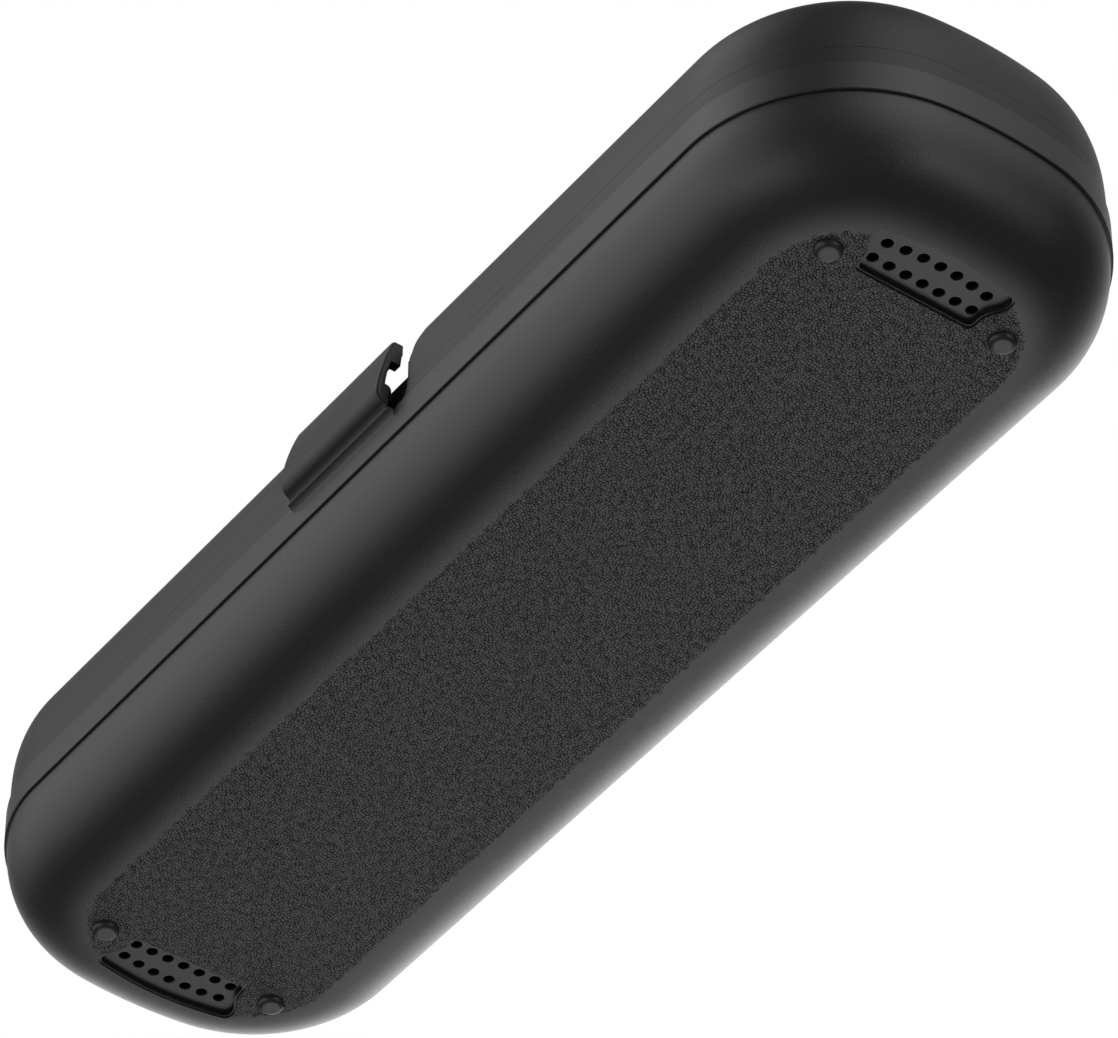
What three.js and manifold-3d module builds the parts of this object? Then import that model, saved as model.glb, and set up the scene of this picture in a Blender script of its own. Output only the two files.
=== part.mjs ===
// Travel case for an electric toothbrush: two shells on a rim and a frame, a lid on two hinges, a clip
// latch, and a deck that holds a trough for the handle and two boxes for brush heads.
// Millimetres. X runs along the case, the latch is on the -Y side, +Z is up, z = 0 is under the feet.
import * as THREE from 'three'
import { mergeVertices } from 'three/addons/utils/BufferGeometryUtils.js'
import Module from 'manifold-3d'

const wasm = await Module()
wasm.setup()

// Plan outline, measured at the seam of the bottom shell
const halfLength = 114.44
const halfWidth = 34.71
const cornerRadius = 28.2
const endRadius = 83.7

// Heights of the stacked mouldings
const footHeight = 1.0
const bottomDepth = 14.96
const rimHeight = 5.52
const lidBandHeight = 3.64
const domeHeight = 16.37
const seamGap = 0.3

// Rounded edges: how far each one runs in, and the power of its curve
const bottomRollWidth = 14.5
const bottomRollPower = 2.167
const domeRollWidth = 14.07
const domeRollPower = 2.689
const endRollShare = 0.145
const rimProud = 0.45
const rimEdge = 0.3

// Walls and running gaps
const wall = 1.8
const rimWall = 2.1
const fitGap = 0.3
const slimGap = 0.15
const overrun = 6
const weldGap = 1e-4

// Feet, placed from the outline
const footEndInset = 21.24
const footSideInset = 18.91
const footTopRadius = 1.4
const footBaseRadius = 2.2
const footStemRadius = 1.1
const footBarb = 0.5
const footBarbHeight = 0.8

// Vent grilles in the bottom, placed from the outline
const ventEndInset = 12.14
const ventLength = 10.05
const ventFootGap = 5.2
const ventCorner = 1.2
const ventFlare = 1.9
const ventNeck = 3.0
const ventTipRadius = 0.8
const ventArcRadius = 45
const ventDepth = 1.22
const ventFloor = 1.0
const ventPadMargin = 1.2
const holeRadius = 0.913
const holePitch = 3.0
const holeMargin = 1.5
const innerRowGap = 2.48
const outerRowGap = 3.34
const outerRowRadius = 50.7

// Rim and deck
const deckDrop = 2.0
const deckWall = 1.4
const skirtDepth = 4.0
const ledgeWidth = 1.5

// Handle trough and head boxes, placed from the outline
const trayWall = 1.4
const flangeWall = 1.0
const flangeWidth = 1.5
const flangeCorner = 4
const troughSideGap = 9.21
const troughEndGap = 20.44
const troughLift = 1.5
const saddleRise = 1.0
const saddleWidth = 2.0
const saddleInset = 26
const saddleDrop = 3.5
const boxSideGap = 7.71
const boxEndGap = 27.44
const boxWidth = 15
const boxInset = 7
const boxFloorLift = 6.2
const boxCorner = 4
const middleLand = 8
const slotWidth = 1.6
const slotLength = 9
const slotPitch = 4
const slotsPerRow = 3
const slotInset = 10

// Peg and fork for one brush head
const pegRadius = 2.1
const pegLength = 13
const pegLift = 7.5
const pegBlock = 4
const neckX = 30
const neckWidth = 3
const neckRadius = 3.2

// Lid frame and lid shell
const tongueDepth = 1.7
const tongueWall = 1.5
const spigotHeight = 4.0

// Rear hinges
const hingeEndInset = 62.44
const hingeOffset = 1.4
const knuckleRadius = 2.1
const hingePinRadius = 0.9
const bodyKnuckle = 5
const lidKnuckle = 8
const webDepth = 1.2

// Recess for the latch and thumb scoop in the lid's front
const recessDepth = 2.0
const recessHalfWidth = 16.9
const recessFootHalf = 14.4
const recessShoulder = 5.0
const recessBlend = 3.9
const scoopFloor = 7.82
const scoopRadius = 19.1
const scoopCentre = 10.1
const scoopRound = 2.3
const catchHalfWidth = 5.5
const catchFace = 1.55
const catchDepth = 2.1
const catchRise = 3.0

// Clip latch, its section counted outward from the seam outline and up from the seam
const latchLength = 26
const latchTop = 19.55
const latchFoot = 5.07
const latchProud = 3.5
const latchCrest = 8.3
const strapWall = 1.3
const hookReach = 1.17
const hookWall = 2.1
const cheekWall = 1.65
const cheekDrop = 4.55
const heelOut = 1.45
const rollOut = 2.39
const rollUp = 6.08
const rollEase = 0.55
const rollSwell = 0.77
const pivotOut = 1.6
const pivotUp = 7.7
const latchPinRadius = 0.5
const bossRadius = 1.0
const earX = 6.2
const earWidth = 3
const earRise = 2.6
const earArm = 1.2
const earSkinLean = 0.67
const heelGap = 0.15
const shelfHalf = 13.4
const shelfRoot = 3.5
const shelfReach = 1.6
const shelfTip = 0.4

// Counts
const cornerSteps = 9
const endSteps = 2
const rollSteps = 8
const roundSteps = 24
const ventSteps = 4
const domeSteps = 3
const recessSteps = 5
const scoopSteps = 4
const curveSegments = 6
const holeSteps = 8
const pinSteps = 12

// Levels worked out from the heights
const zPanel = footHeight
const zSeam = zPanel + bottomDepth
const zOpen = zSeam + rimHeight
const zLid = zOpen + lidBandHeight
const zTop = zLid + domeHeight
const zDeck = zOpen - deckDrop
const zScoop = zOpen + scoopFloor
const hingeY = halfWidth + hingeOffset
const hingeX = halfLength - hingeEndInset
const innerRollWidth = bottomRollWidth - wall / 2

// The tray's layout, worked out from the outline and the gaps
const footX = halfLength - footEndInset
const footY = halfWidth - footSideInset
const ventOuterX = halfLength - ventEndInset
const ventInnerX = ventOuterX - ventLength
const ventHalfWidth = footY - ventFootGap
const troughHalf = halfWidth - (boxSideGap + boxWidth + middleLand + troughSideGap) / 2
const troughY = halfWidth - troughSideGap - troughHalf
const troughZ = zDeck + troughLift
const footBarbTop = zPanel + wall + fitGap + footBarbHeight
const troughDepth = troughZ - footBarbTop - fitGap - trayWall
const troughReach = halfLength - troughEndGap
const boxY = -(halfWidth - boxSideGap - boxWidth / 2)
const boxLength = halfLength - boxEndGap - boxInset
const boxFloorZ = zPanel + wall + boxFloorLift

// Colours read from the photograph
const satinBlack = new THREE.MeshStandardMaterial({ color: 0x2b2b2c, roughness: 0.5, metalness: 0 })
const trayBlack = new THREE.MeshStandardMaterial({ color: 0x262627, roughness: 0.55, metalness: 0 })
const rubberBlack = new THREE.MeshStandardMaterial({ color: 0x1c1c1d, roughness: 0.7, metalness: 0 })
const darkSteel = new THREE.MeshStandardMaterial({ color: 0x5a5b5e, roughness: 0.35, metalness: 0.9 })

// A closed three.js geometry as a solid, and back again
function solid(geometry) {
  const bare = geometry.clone()
  bare.deleteAttribute('normal')
  bare.deleteAttribute('uv')
  const merged = mergeVertices(bare, weldGap)
  return new wasm.Manifold(new wasm.Mesh({
    numProp: 3,
    vertProperties: new Float32Array(merged.attributes.position.array),
    triVerts: new Uint32Array(merged.index.array)
  }))
}

function geometryOf(body) {
  const mesh = body.getMesh()
  const geometry = new THREE.BufferGeometry()
  geometry.setAttribute('position', new THREE.BufferAttribute(new Float32Array(mesh.vertProperties), 3))
  geometry.setIndex(new THREE.BufferAttribute(new Uint32Array(mesh.triVerts), 1))
  geometry.computeVertexNormals()
  return geometry
}

const joined = (bodies) => bodies.reduce((all, one) => all.add(one))
const cutBy = (body, tools) => tools.reduce((rest, tool) => rest.subtract(tool), body)

// One quarter of the plan outline as centres, radii and directions, from the end's tip to the long side
function quarterOutline() {
  const side = halfWidth - cornerRadius
  const reach = endRadius - cornerRadius
  const endCentre = halfLength - endRadius
  const cornerX = endCentre + Math.sqrt(reach * reach - side * side)
  const meet = Math.atan2(cornerX - endCentre, side)
  const points = []
  for (let i = 0; i < endSteps; i++) {
    const angle = Math.PI / 2 + (meet - Math.PI / 2) * i / endSteps
    points.push({ x: endCentre, y: 0, radius: endRadius, angle })
  }
  for (let i = 0; i <= cornerSteps; i++) {
    points.push({ x: cornerX, y: side, radius: cornerRadius, angle: meet * (1 - i / cornerSteps) })
  }
  return points
}

// The whole outline, moved in by an inset; the ends may move in by less
function outline(inset, endShare = 0) {
  const quarter = quarterOutline().map((p) => {
    const nx = Math.sin(p.angle)
    const moved = inset * (1 - endShare * nx * nx)
    return [p.x + (p.radius - moved) * nx, p.y + (p.radius - moved) * Math.cos(p.angle)]
  })
  const back = quarter.slice().reverse()
  const inner = quarter.slice(1)
  const innerBack = inner.slice().reverse()
  return [
    ...quarter,
    ...back.map(([x, y]) => [-x, y]),
    ...inner.map(([x, y]) => [-x, -y]),
    ...innerBack.map(([x, y]) => [x, -y])
  ]
}

// A closed body through rings of points, each ring with its points running the same way round
function loft(rings) {
  const count = rings[0].length
  const positions = rings.flat(2)
  const first = positions.length / 3
  for (const ring of [rings[0], rings[rings.length - 1]]) {
    for (let axis = 0; axis < 3; axis++) {
      positions.push(ring.reduce((sum, point) => sum + point[axis], 0) / count)
    }
  }
  const index = []
  for (let i = 0; i < count; i++) {
    const next = (i + 1) % count
    for (let row = 0; row < rings.length - 1; row++) {
      const low = row * count
      const high = low + count
      index.push(low + i, low + next, high + next)
      index.push(low + i, high + next, high + i)
    }
    const last = (rings.length - 1) * count
    index.push(first, next, i)
    index.push(first + 1, last + i, last + next)
  }
  const geometry = new THREE.BufferGeometry()
  geometry.setAttribute('position', new THREE.Float32BufferAttribute(positions, 3))
  geometry.setIndex(index)
  return solid(geometry)
}

const slice = (inset, z, endShare = 0) => outline(inset, endShare).map(([x, y]) => [x, y, z])
const plate = (inset, low, high) => loft([slice(inset, low), slice(inset, high)])

// The quarter curve of a rolled edge, as insets and rises between zero and its full size
function rollCurve(width, height, power) {
  const points = []
  for (let i = 0; i <= rollSteps; i++) {
    const angle = i / rollSteps * Math.PI / 2
    const inset = width * (1 - Math.pow(Math.max(Math.cos(angle), 0), 2 / power))
    const rise = height * Math.pow(Math.sin(angle), 2 / power)
    points.push([inset, rise])
  }
  return points
}

// Boxes, rods and extruded sections in the case's own axes
function box(x0, x1, y0, y1, z0, z1) {
  const geometry = new THREE.BoxGeometry(x1 - x0, y1 - y0, z1 - z0)
  geometry.translate((x0 + x1) / 2, (y0 + y1) / 2, (z0 + z1) / 2)
  return solid(geometry)
}

function rodAlongX(radius, x0, x1, y, z, steps = roundSteps) {
  const geometry = new THREE.CylinderGeometry(radius, radius, x1 - x0, steps)
  geometry.rotateZ(-Math.PI / 2)
  geometry.translate((x0 + x1) / 2, y, z)
  return solid(geometry)
}

function rodAlongZ(radius, x, y, z0, z1, steps) {
  const geometry = new THREE.CylinderGeometry(radius, radius, z1 - z0, steps)
  geometry.rotateX(Math.PI / 2)
  geometry.translate(x, y, (z0 + z1) / 2)
  return solid(geometry)
}

// A section drawn in Y and Z, run along X between two places
function runAlongX(shape, x0, x1) {
  const geometry = new THREE.ExtrudeGeometry(shape, { depth: x1 - x0, bevelEnabled: false, curveSegments })
  const turn = new THREE.Matrix4().makeBasis(
    new THREE.Vector3(0, 1, 0), new THREE.Vector3(0, 0, 1), new THREE.Vector3(1, 0, 0)
  )
  geometry.applyMatrix4(turn)
  geometry.translate(x0, 0, 0)
  return solid(geometry)
}

// A plan drawn in X and Y, run up between two heights
function runAlongZ(shape, z0, z1) {
  const geometry = new THREE.ExtrudeGeometry(shape, { depth: z1 - z0, bevelEnabled: false, curveSegments })
  geometry.translate(0, 0, z0)
  return solid(geometry)
}

function turned(profile, x, y, steps = roundSteps) {
  const points = profile.map(([r, z]) => new THREE.Vector2(r, z))
  const geometry = new THREE.LatheGeometry(points, steps)
  geometry.rotateX(Math.PI / 2)
  geometry.translate(x, y, 0)
  return solid(geometry)
}

function roundedPlan(x0, x1, y0, y1, corner) {
  const shape = new THREE.Shape()
  shape.moveTo(x0 + corner, y0)
  shape.lineTo(x1 - corner, y0)
  shape.absarc(x1 - corner, y0 + corner, corner, -Math.PI / 2, 0, false)
  shape.absarc(x1 - corner, y1 - corner, corner, 0, Math.PI / 2, false)
  shape.absarc(x0 + corner, y1 - corner, corner, Math.PI / 2, Math.PI, false)
  shape.absarc(x0 + corner, y0 + corner, corner, Math.PI, Math.PI * 3 / 2, false)
  return shape
}

// Bottom shell: outer and inner rolls, sunk vent grilles and the holes for the feet
function bottomRoll(startInset, width, low, high) {
  const curve = rollCurve(width, high - low, bottomRollPower)
  return curve.map(([inset, drop]) => slice(startInset + inset, high - drop)).reverse()
}

function ventPlan(side, grow) {
  const inner = ventInnerX - grow
  const outer = ventOuterX + grow
  const half = ventHalfWidth + grow
  const tipHalf = half + ventFlare
  const arc = ventArcRadius + grow
  const sag = arc - Math.sqrt(arc * arc - tipHalf * tipHalf)
  const tipX = outer - sag - ventTipRadius
  const neck = inner + ventNeck
  const bend = (neck + tipX) / 2
  const edge = new THREE.Shape()
  edge.moveTo(inner, half - ventCorner)
  edge.quadraticCurveTo(inner, half, inner + ventCorner, half)
  edge.lineTo(neck, half)
  edge.quadraticCurveTo(bend, half, bend, half + ventFlare / 2)
  edge.quadraticCurveTo(bend, tipHalf, tipX, tipHalf)
  edge.quadraticCurveTo(outer - sag, tipHalf, outer - sag + ventTipRadius / 2, tipHalf - ventTipRadius)
  edge.quadraticCurveTo(outer, half / 2, outer, 0)
  const upper = edge.getPoints(ventSteps).map((point) => new THREE.Vector2(side * point.x, point.y))
  const lower = upper.slice(0, -1).map((point) => new THREE.Vector2(point.x, -point.y)).reverse()
  return new THREE.Shape([...upper, ...lower])
}

function ventHoles(side) {
  const rods = []
  const reach = Math.floor((ventHalfWidth - holeMargin) / holePitch)
  for (let i = -reach; i <= reach; i++) {
    const y = i * holePitch
    const sag = outerRowRadius - Math.sqrt(outerRowRadius * outerRowRadius - y * y)
    for (const x of [ventInnerX + innerRowGap, ventOuterX - outerRowGap - sag]) {
      rods.push(rodAlongZ(holeRadius, side * x, y, zPanel, zPanel + overrun, holeSteps))
    }
  }
  return joined(rods)
}

// How far the bottom shell's inner face has run in at a height
function bottomInset(z) {
  const high = zSeam - seamGap / 2
  const sine = Math.pow((high - z) / (high - zPanel - wall), bottomRollPower / 2)
  return wall + innerRollWidth * (1 - Math.pow(1 - sine * sine, 1 / bottomRollPower))
}

function bottomShell() {
  const high = zSeam - seamGap / 2
  const outer = loft(bottomRoll(0, bottomRollWidth, zPanel, high))
  const innerLevels = bottomRoll(wall, innerRollWidth, zPanel + wall, high)
  innerLevels.push(slice(wall, high + overrun))
  const pads = [1, -1].map((side) =>
    runAlongZ(ventPlan(side, ventPadMargin), zPanel, zPanel + ventDepth + ventFloor))
  const cavity = cutBy(loft(innerLevels), pads)
  const sunk = [1, -1].map((side) => runAlongZ(ventPlan(side, 0), zPanel - overrun, zPanel + ventDepth))
  const holes = [1, -1].map(ventHoles)
  const footHoles = footPlaces().map(([x, y]) =>
    rodAlongZ(footStemRadius + fitGap / 2, x, y, zPanel - overrun, zPanel + overrun, pinSteps))
  return cutBy(outer, [cavity, ...sunk, ...holes, ...footHoles])
}

// Push-in rubber feet
function footPlaces() {
  return [[footX, -footY], [footX, footY], [-footX, -footY], [-footX, footY]]
}

function foot(x, y) {
  const barbZ = zPanel + wall + fitGap
  const dome = new THREE.EllipseCurve(footTopRadius, footHeight, footBaseRadius - footTopRadius, footHeight,
    -Math.PI / 2, 0)
  return turned([
    [0, 0],
    ...dome.getPoints(domeSteps).map((point) => [point.x, point.y]),
    [footStemRadius, footHeight],
    [footStemRadius, barbZ],
    [footStemRadius + footBarb, barbZ],
    [footStemRadius, footBarbTop],
    [0, footBarbTop]
  ], x, y, pinSteps)
}

// Base rim: a proud band, with a skirt inside the bottom shell whose top is the ledge for the deck
function baseRim() {
  const low = zSeam + seamGap / 2
  const band = loft([
    slice(0, low),
    slice(-rimProud, low + rimEdge),
    slice(-rimProud, zOpen - rimEdge),
    slice(-rimProud + rimEdge / 2, zOpen)
  ])
  const skirtLow = zSeam - skirtDepth
  const skirtOuter = wall + fitGap
  const skirt = loft([
    slice(bottomInset(skirtLow) + fitGap, skirtLow),
    slice(skirtOuter, zSeam),
    slice(skirtOuter, low),
    slice(rimWall / 2, low),
    slice(rimWall / 2, zDeck - deckWall)
  ])
  const hollow = plate(rimWall + ledgeWidth, skirtLow - overrun, zOpen + overrun)
  const seat = plate(rimWall, zDeck - deckWall, zOpen + overrun)
  const hoop = cutBy(band.add(skirt), [hollow, seat])
  const ring = joined([hoop, latchShelf(), earFoot(1), earFoot(-1)]).subtract(heelGroove())
  const relieved = cutBy(ring, hingeStations().map((x) => hingeRelief(x, -lidKnuckle / 2, lidKnuckle / 2)))
  const knuckles = hingeStations().flatMap((x) => [bodyKnuckleAt(x, 1), bodyKnuckleAt(x, -1)])
  return joined([relieved, ...latchEars(), ...knuckles]).subtract(latchPinBore())
}

// Tray deck: a plate on the rim's ledge, with an opening for the trough and one for each head box
function trayDeck() {
  const low = zDeck - deckWall
  const grow = trayWall + fitGap
  const half = troughHalf + grow
  const reach = troughReach + grow
  const openings = [1, -1].map((side) => runAlongZ(boxPlan(side, grow), low - overrun, zDeck + overrun))
  openings.push(box(-reach, reach, troughY - half, troughY + half, low - overrun, zDeck + overrun))
  return cutBy(plate(rimWall + fitGap, low, zDeck), openings)
}

// Handle trough: a half pipe of oval section with three saddles, hung by its flange
function oval(half, depth, x0, x1) {
  const geometry = new THREE.CylinderGeometry(1, 1, x1 - x0, roundSteps * 2)
  geometry.rotateZ(-Math.PI / 2)
  geometry.scale(1, half, depth)
  geometry.translate((x0 + x1) / 2, troughY, troughZ)
  return solid(geometry)
}

function saddles() {
  const places = [saddleInset - troughReach, 0, troughReach - saddleInset]
  const bands = places.map((x) =>
    oval(troughHalf + trayWall / 2, troughDepth + trayWall / 2, x - saddleWidth / 2, x + saddleWidth / 2))
  const low = box(-halfLength, halfLength, -halfWidth, halfWidth, zPanel, zDeck - saddleDrop)
  const core = oval(troughHalf - saddleRise, troughDepth - saddleRise, -halfLength, halfLength)
  return joined(bands).intersect(low).subtract(core)
}

function airSlots(x, y, low) {
  const places = Array.from({ length: slotsPerRow }, (_, i) => y + (i - (slotsPerRow - 1) / 2) * slotPitch)
  return joined(places.map((place) => box(x - slotLength / 2, x + slotLength / 2,
    place - slotWidth / 2, place + slotWidth / 2, low - overrun, low + overrun)))
}

function handleTrough() {
  const reach = troughReach + trayWall
  const wide = halfWidth + overrun
  const below = box(-halfLength, halfLength, -wide, wide, zPanel, zDeck)
  const outer = oval(troughHalf + trayWall, troughDepth + trayWall, -reach, reach).intersect(below)
  const edge = troughHalf + trayWall + flangeWidth
  const flange = runAlongZ(
    roundedPlan(-reach - flangeWidth, reach + flangeWidth, troughY - edge, troughY + edge, flangeCorner),
    zDeck, zDeck + flangeWall)
  const inner = oval(troughHalf, troughDepth, -troughReach, troughReach)
  const low = troughZ - troughDepth
  const slots = [1, -1].map((side) => airSlots(side * (troughReach - slotInset), troughY, low - trayWall))
  return cutBy(cutBy(outer.add(flange), [inner]).add(saddles()), slots)
}

// Head box: an open box hung by its flange, with a peg for the brush head and a fork for its neck
function boxPlan(side, grow) {
  const near = side * (boxInset - grow)
  const far = side * (boxInset + boxLength + grow)
  const half = boxWidth / 2 + grow
  return roundedPlan(Math.min(near, far), Math.max(near, far), boxY - half, boxY + half, boxCorner)
}

function headBox(side) {
  const span = (from, to) => [Math.min(side * from, side * to), Math.max(side * from, side * to)]
  const floor = boxFloorZ - trayWall
  const pegZ = boxFloorZ + pegLift
  const body = runAlongZ(boxPlan(side, trayWall), floor, zDeck)
  const flange = runAlongZ(boxPlan(side, trayWall + flangeWidth), zDeck, zDeck + flangeWall)
  const hollow = runAlongZ(boxPlan(side, 0), boxFloorZ, zOpen + overrun)
  const [b0, b1] = span(boxInset - trayWall / 2, boxInset + pegBlock)
  const root = boxFloorZ - trayWall / 2
  const block = box(b0, b1, boxY - pegRadius * 2, boxY + pegRadius * 2, root, pegZ + pegRadius)
  const [g0, g1] = span(boxInset + pegBlock / 2, boxInset + pegBlock + pegLength)
  const peg = rodAlongX(pegRadius, g0, g1, boxY, pegZ)
  const [n0, n1] = span(boxInset + neckX, boxInset + neckX + neckWidth)
  const fork = box(n0, n1, boxY - neckRadius * 2, boxY + neckRadius * 2, root, pegZ)
  const throat = rodAlongX(neckRadius, n0 - overrun, n1 + overrun, boxY, pegZ)
  const slots = airSlots(side * (boxInset + boxLength - slotInset), boxY, floor)
  const shell = joined([body, flange]).subtract(hollow)
  return joined([shell, block, peg, fork.subtract(throat)]).subtract(slots)
}

// Shelf that flares out of the rim under the latch, and the groove its heel swings in
function latchShelf() {
  const face = -halfWidth - rimProud
  const inside = -halfWidth + rimWall / 2
  const tip = -halfWidth - shelfReach
  const under = zSeam + latchFoot - heelGap - shelfTip
  const shape = new THREE.Shape()
  shape.moveTo(inside, zSeam + shelfRoot)
  shape.lineTo(face, zSeam + shelfRoot)
  shape.quadraticCurveTo(face, under, tip, under)
  shape.lineTo(tip, zSeam + latchFoot)
  shape.lineTo(inside, zSeam + latchFoot)
  shape.closePath()
  return runAlongX(shape, -shelfHalf, shelfHalf)
}

const latchAxis = () => [-halfWidth - pivotOut, zSeam + pivotUp]

function heelGroove() {
  const [y, z] = latchAxis()
  const heelRadius = pivotUp - latchFoot
  return rodAlongX(heelRadius + heelGap, -shelfHalf - fitGap, shelfHalf + fitGap, y, z, roundSteps * 2)
}

// Two ears stand on the rim inside the lid's recess, and their arms reach down to the latch's pin
const earBack = -halfWidth + recessDepth - fitGap

function earFoot(side) {
  const z = latchAxis()[1]
  const x0 = side * earX - earWidth / 2
  return box(x0, x0 + earWidth, -halfWidth, earBack, zOpen - deckDrop, z)
}

function latchEars() {
  const [y, z] = latchAxis()
  const front = y + pivotUp - latchFoot + heelGap
  const top = z + earRise + earArm / 2
  const lean = Math.atan2(earRise, (front + earBack) / 2 - y)
  const dy = Math.sin(lean) * earArm / 2
  const dz = Math.cos(lean) * earArm / 2
  const frontTop = z + (front - y + dy) * Math.tan(lean) - dz
  const shape = new THREE.Shape()
  shape.moveTo(earBack, zOpen - deckDrop)
  shape.lineTo(earBack, top)
  shape.lineTo(earBack - earArm, top)
  shape.lineTo(y - dy, z + dz)
  shape.lineTo(y + dy, z - dz)
  shape.lineTo(front, frontTop)
  shape.lineTo(front, zOpen - deckDrop)
  shape.closePath()
  return [1, -1].map((side) => {
    const x0 = side * earX - earWidth / 2
    return runAlongX(shape, x0, x0 + earWidth).add(rodAlongX(bossRadius, x0, x0 + earWidth, y, z))
  })
}

function latchPinBore() {
  const [y, z] = latchAxis()
  const end = earX + earWidth + fitGap
  return rodAlongX(latchPinRadius + slimGap, -latchLength, end, y, z, pinSteps)
}

// Rear hinges: two stations, each with two knuckles on the tray and one on the lid frame
const hingeStations = () => [hingeX, -hingeX]

function hingeRelief(x, from, to) {
  return rodAlongX(knuckleRadius + fitGap + slimGap, x + from - fitGap, x + to + fitGap, hingeY, zOpen)
}

function knuckle(x0, x1, webLow, webHigh) {
  const barrel = rodAlongX(knuckleRadius, x0, x1, hingeY, zOpen)
  const web = box(x0, x1, halfWidth - webDepth, hingeY, webLow, webHigh)
  const bore = rodAlongX(hingePinRadius + slimGap, x0 - overrun, x1 + overrun, hingeY, zOpen, pinSteps)
  return barrel.add(web).subtract(bore)
}

function bodyKnuckleAt(x, side) {
  const near = x + side * (lidKnuckle / 2 + fitGap)
  const far = near + side * bodyKnuckle
  return knuckle(Math.min(near, far), Math.max(near, far), zOpen - knuckleRadius, zOpen)
}

function lidKnuckleAt(x) {
  return knuckle(x - lidKnuckle / 2, x + lidKnuckle / 2, zOpen, zOpen + knuckleRadius)
}

function hingePin(x) {
  const half = lidKnuckle / 2 + fitGap + bodyKnuckle
  return rodAlongX(hingePinRadius, x - half, x + half, hingeY, zOpen, pinSteps)
}

// Recess behind the latch, which may be grown by a wall: its ends run out softly and its foot is rounded
function latchRecess(grow) {
  const low = zOpen - overrun
  const high = zScoop + fitGap / 2
  const shoulder = zOpen + recessShoulder
  const ring = (y, half, foot) => {
    const edge = new THREE.Path()
    edge.moveTo(foot, low)
    edge.lineTo(foot, zOpen)
    edge.quadraticCurveTo(half, (zOpen * 2 + shoulder) / 3, half, shoulder)
    edge.lineTo(half, high)
    const right = edge.getPoints(recessSteps)
    const left = right.map((point) => new THREE.Vector2(-point.x, point.y)).reverse()
    return [...left, ...right].map((point) => [point.x, y, point.y])
  }
  const blend = new THREE.CubicBezierCurve(
    new THREE.Vector2(0, 0), new THREE.Vector2(recessBlend * 2 / 3, 0),
    new THREE.Vector2(recessBlend / 3, recessDepth), new THREE.Vector2(recessBlend, recessDepth)
  )
  const face = ring(-halfWidth - overrun, recessHalfWidth + grow, recessFootHalf + grow)
  const rings = blend.getPoints(rollSteps).map((point) => ring(
    -halfWidth + point.y + grow, recessHalfWidth - point.x + grow, recessFootHalf - point.x + grow))
  return loft([face, ...rings].map((points) => points.slice().reverse()))
}

// Height of the lid's outer face at an inset from the front
function domeHeightAt(inset) {
  const share = Math.min(Math.max(1 - inset / domeRollWidth, 0), 1)
  return zLid + domeHeight * Math.pow(1 - Math.pow(share, domeRollPower), 1 / domeRollPower)
}

// Thumb scoop: an upright round cut whose upper edge is rounded over along the lid's own curve
function thumbScoop(grow) {
  const low = zScoop - grow
  const radius = scoopRadius + grow
  const centre = -halfWidth - scoopCentre
  const column = (angle) => {
    const at = (out, z) => [(radius + out) * Math.cos(angle), centre + (radius + out) * Math.sin(angle), z]
    const insetAt = (out) => at(out, 0)[1] + halfWidth
    const start = Math.max(domeHeightAt(insetAt(0)) - scoopRound, low + fitGap)
    const bend = Math.max(domeHeightAt(insetAt(0)), start + fitGap)
    const end = Math.max(domeHeightAt(insetAt(scoopRound)), bend + slimGap)
    const round = new THREE.QuadraticBezierCurve(
      new THREE.Vector2(0, start), new THREE.Vector2(0, bend), new THREE.Vector2(scoopRound, end))
    const points = round.getPoints(scoopSteps).map((point) => at(point.x, point.y))
    return [at(0, low), ...points, at(scoopRound, zTop + overrun)]
  }
  const columns = Array.from({ length: roundSteps * 3 }, (_, i) => column(i / (roundSteps * 3) * Math.PI * 2))
  return loft(columns[0].map((_, row) => columns.map((points) => points[row])))
}

// Lid frame: the plain band above the opening line, its tongue and its spigot
function domeLevels(startInset, gap, low) {
  const curve = rollCurve(domeRollWidth - gap / 2, domeHeight - gap, domeRollPower)
  const levels = curve.map(([inset, rise]) => slice(startInset + inset, zLid + rise, endRollShare))
  return [slice(startInset, low), ...levels]
}

function lidFrame() {
  const inner = rimWall + fitGap + tongueWall
  const band = plate(0, zOpen, zLid)
  const tongue = plate(rimWall + fitGap, zOpen - tongueDepth, zOpen)
  const spigotOuter = wall + fitGap + slimGap
  const spigot = plate(spigotOuter, zLid, zLid + spigotHeight)
  const opening = plate(inner, zOpen - overrun, zLid + spigotHeight + overrun)
  const ring = joined([band, tongue, spigot]).subtract(opening)
  const scoopRoom = thumbScoop(wall + fitGap)
  const recessRoom = box(-recessHalfWidth - wall - fitGap, recessHalfWidth + wall + fitGap,
    -halfWidth - overrun, -halfWidth + recessDepth + wall + fitGap, zLid, zTop)
  const pits = hingeStations().flatMap((x) => {
    const near = lidKnuckle / 2 + fitGap
    const far = near + bodyKnuckle
    return [hingeRelief(x, near, far), hingeRelief(x, -far, -near)]
  })
  const body = cutBy(ring, [latchRecess(0), recessRoom, scoopRoom, ...pits])
  return joined([body, ...hingeStations().map(lidKnuckleAt)])
}

// Lid shell: the dome, with the recess and scoop walled off from the inside, and the catch
function lidShell() {
  const outer = loft(domeLevels(0, 0, zLid).slice(1))
  const space = loft(domeLevels(wall, wall, zLid - overrun))
  const cavity = cutBy(space, [latchRecess(wall), thumbScoop(wall)])
  const shell = cutBy(outer, [cavity, latchRecess(0), thumbScoop(0)])
  const catchPost = box(-catchHalfWidth, catchHalfWidth, -halfWidth + catchFace,
    -halfWidth + catchFace + catchDepth, zScoop - wall, zScoop + catchRise)
  return shell.add(catchPost)
}

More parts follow.
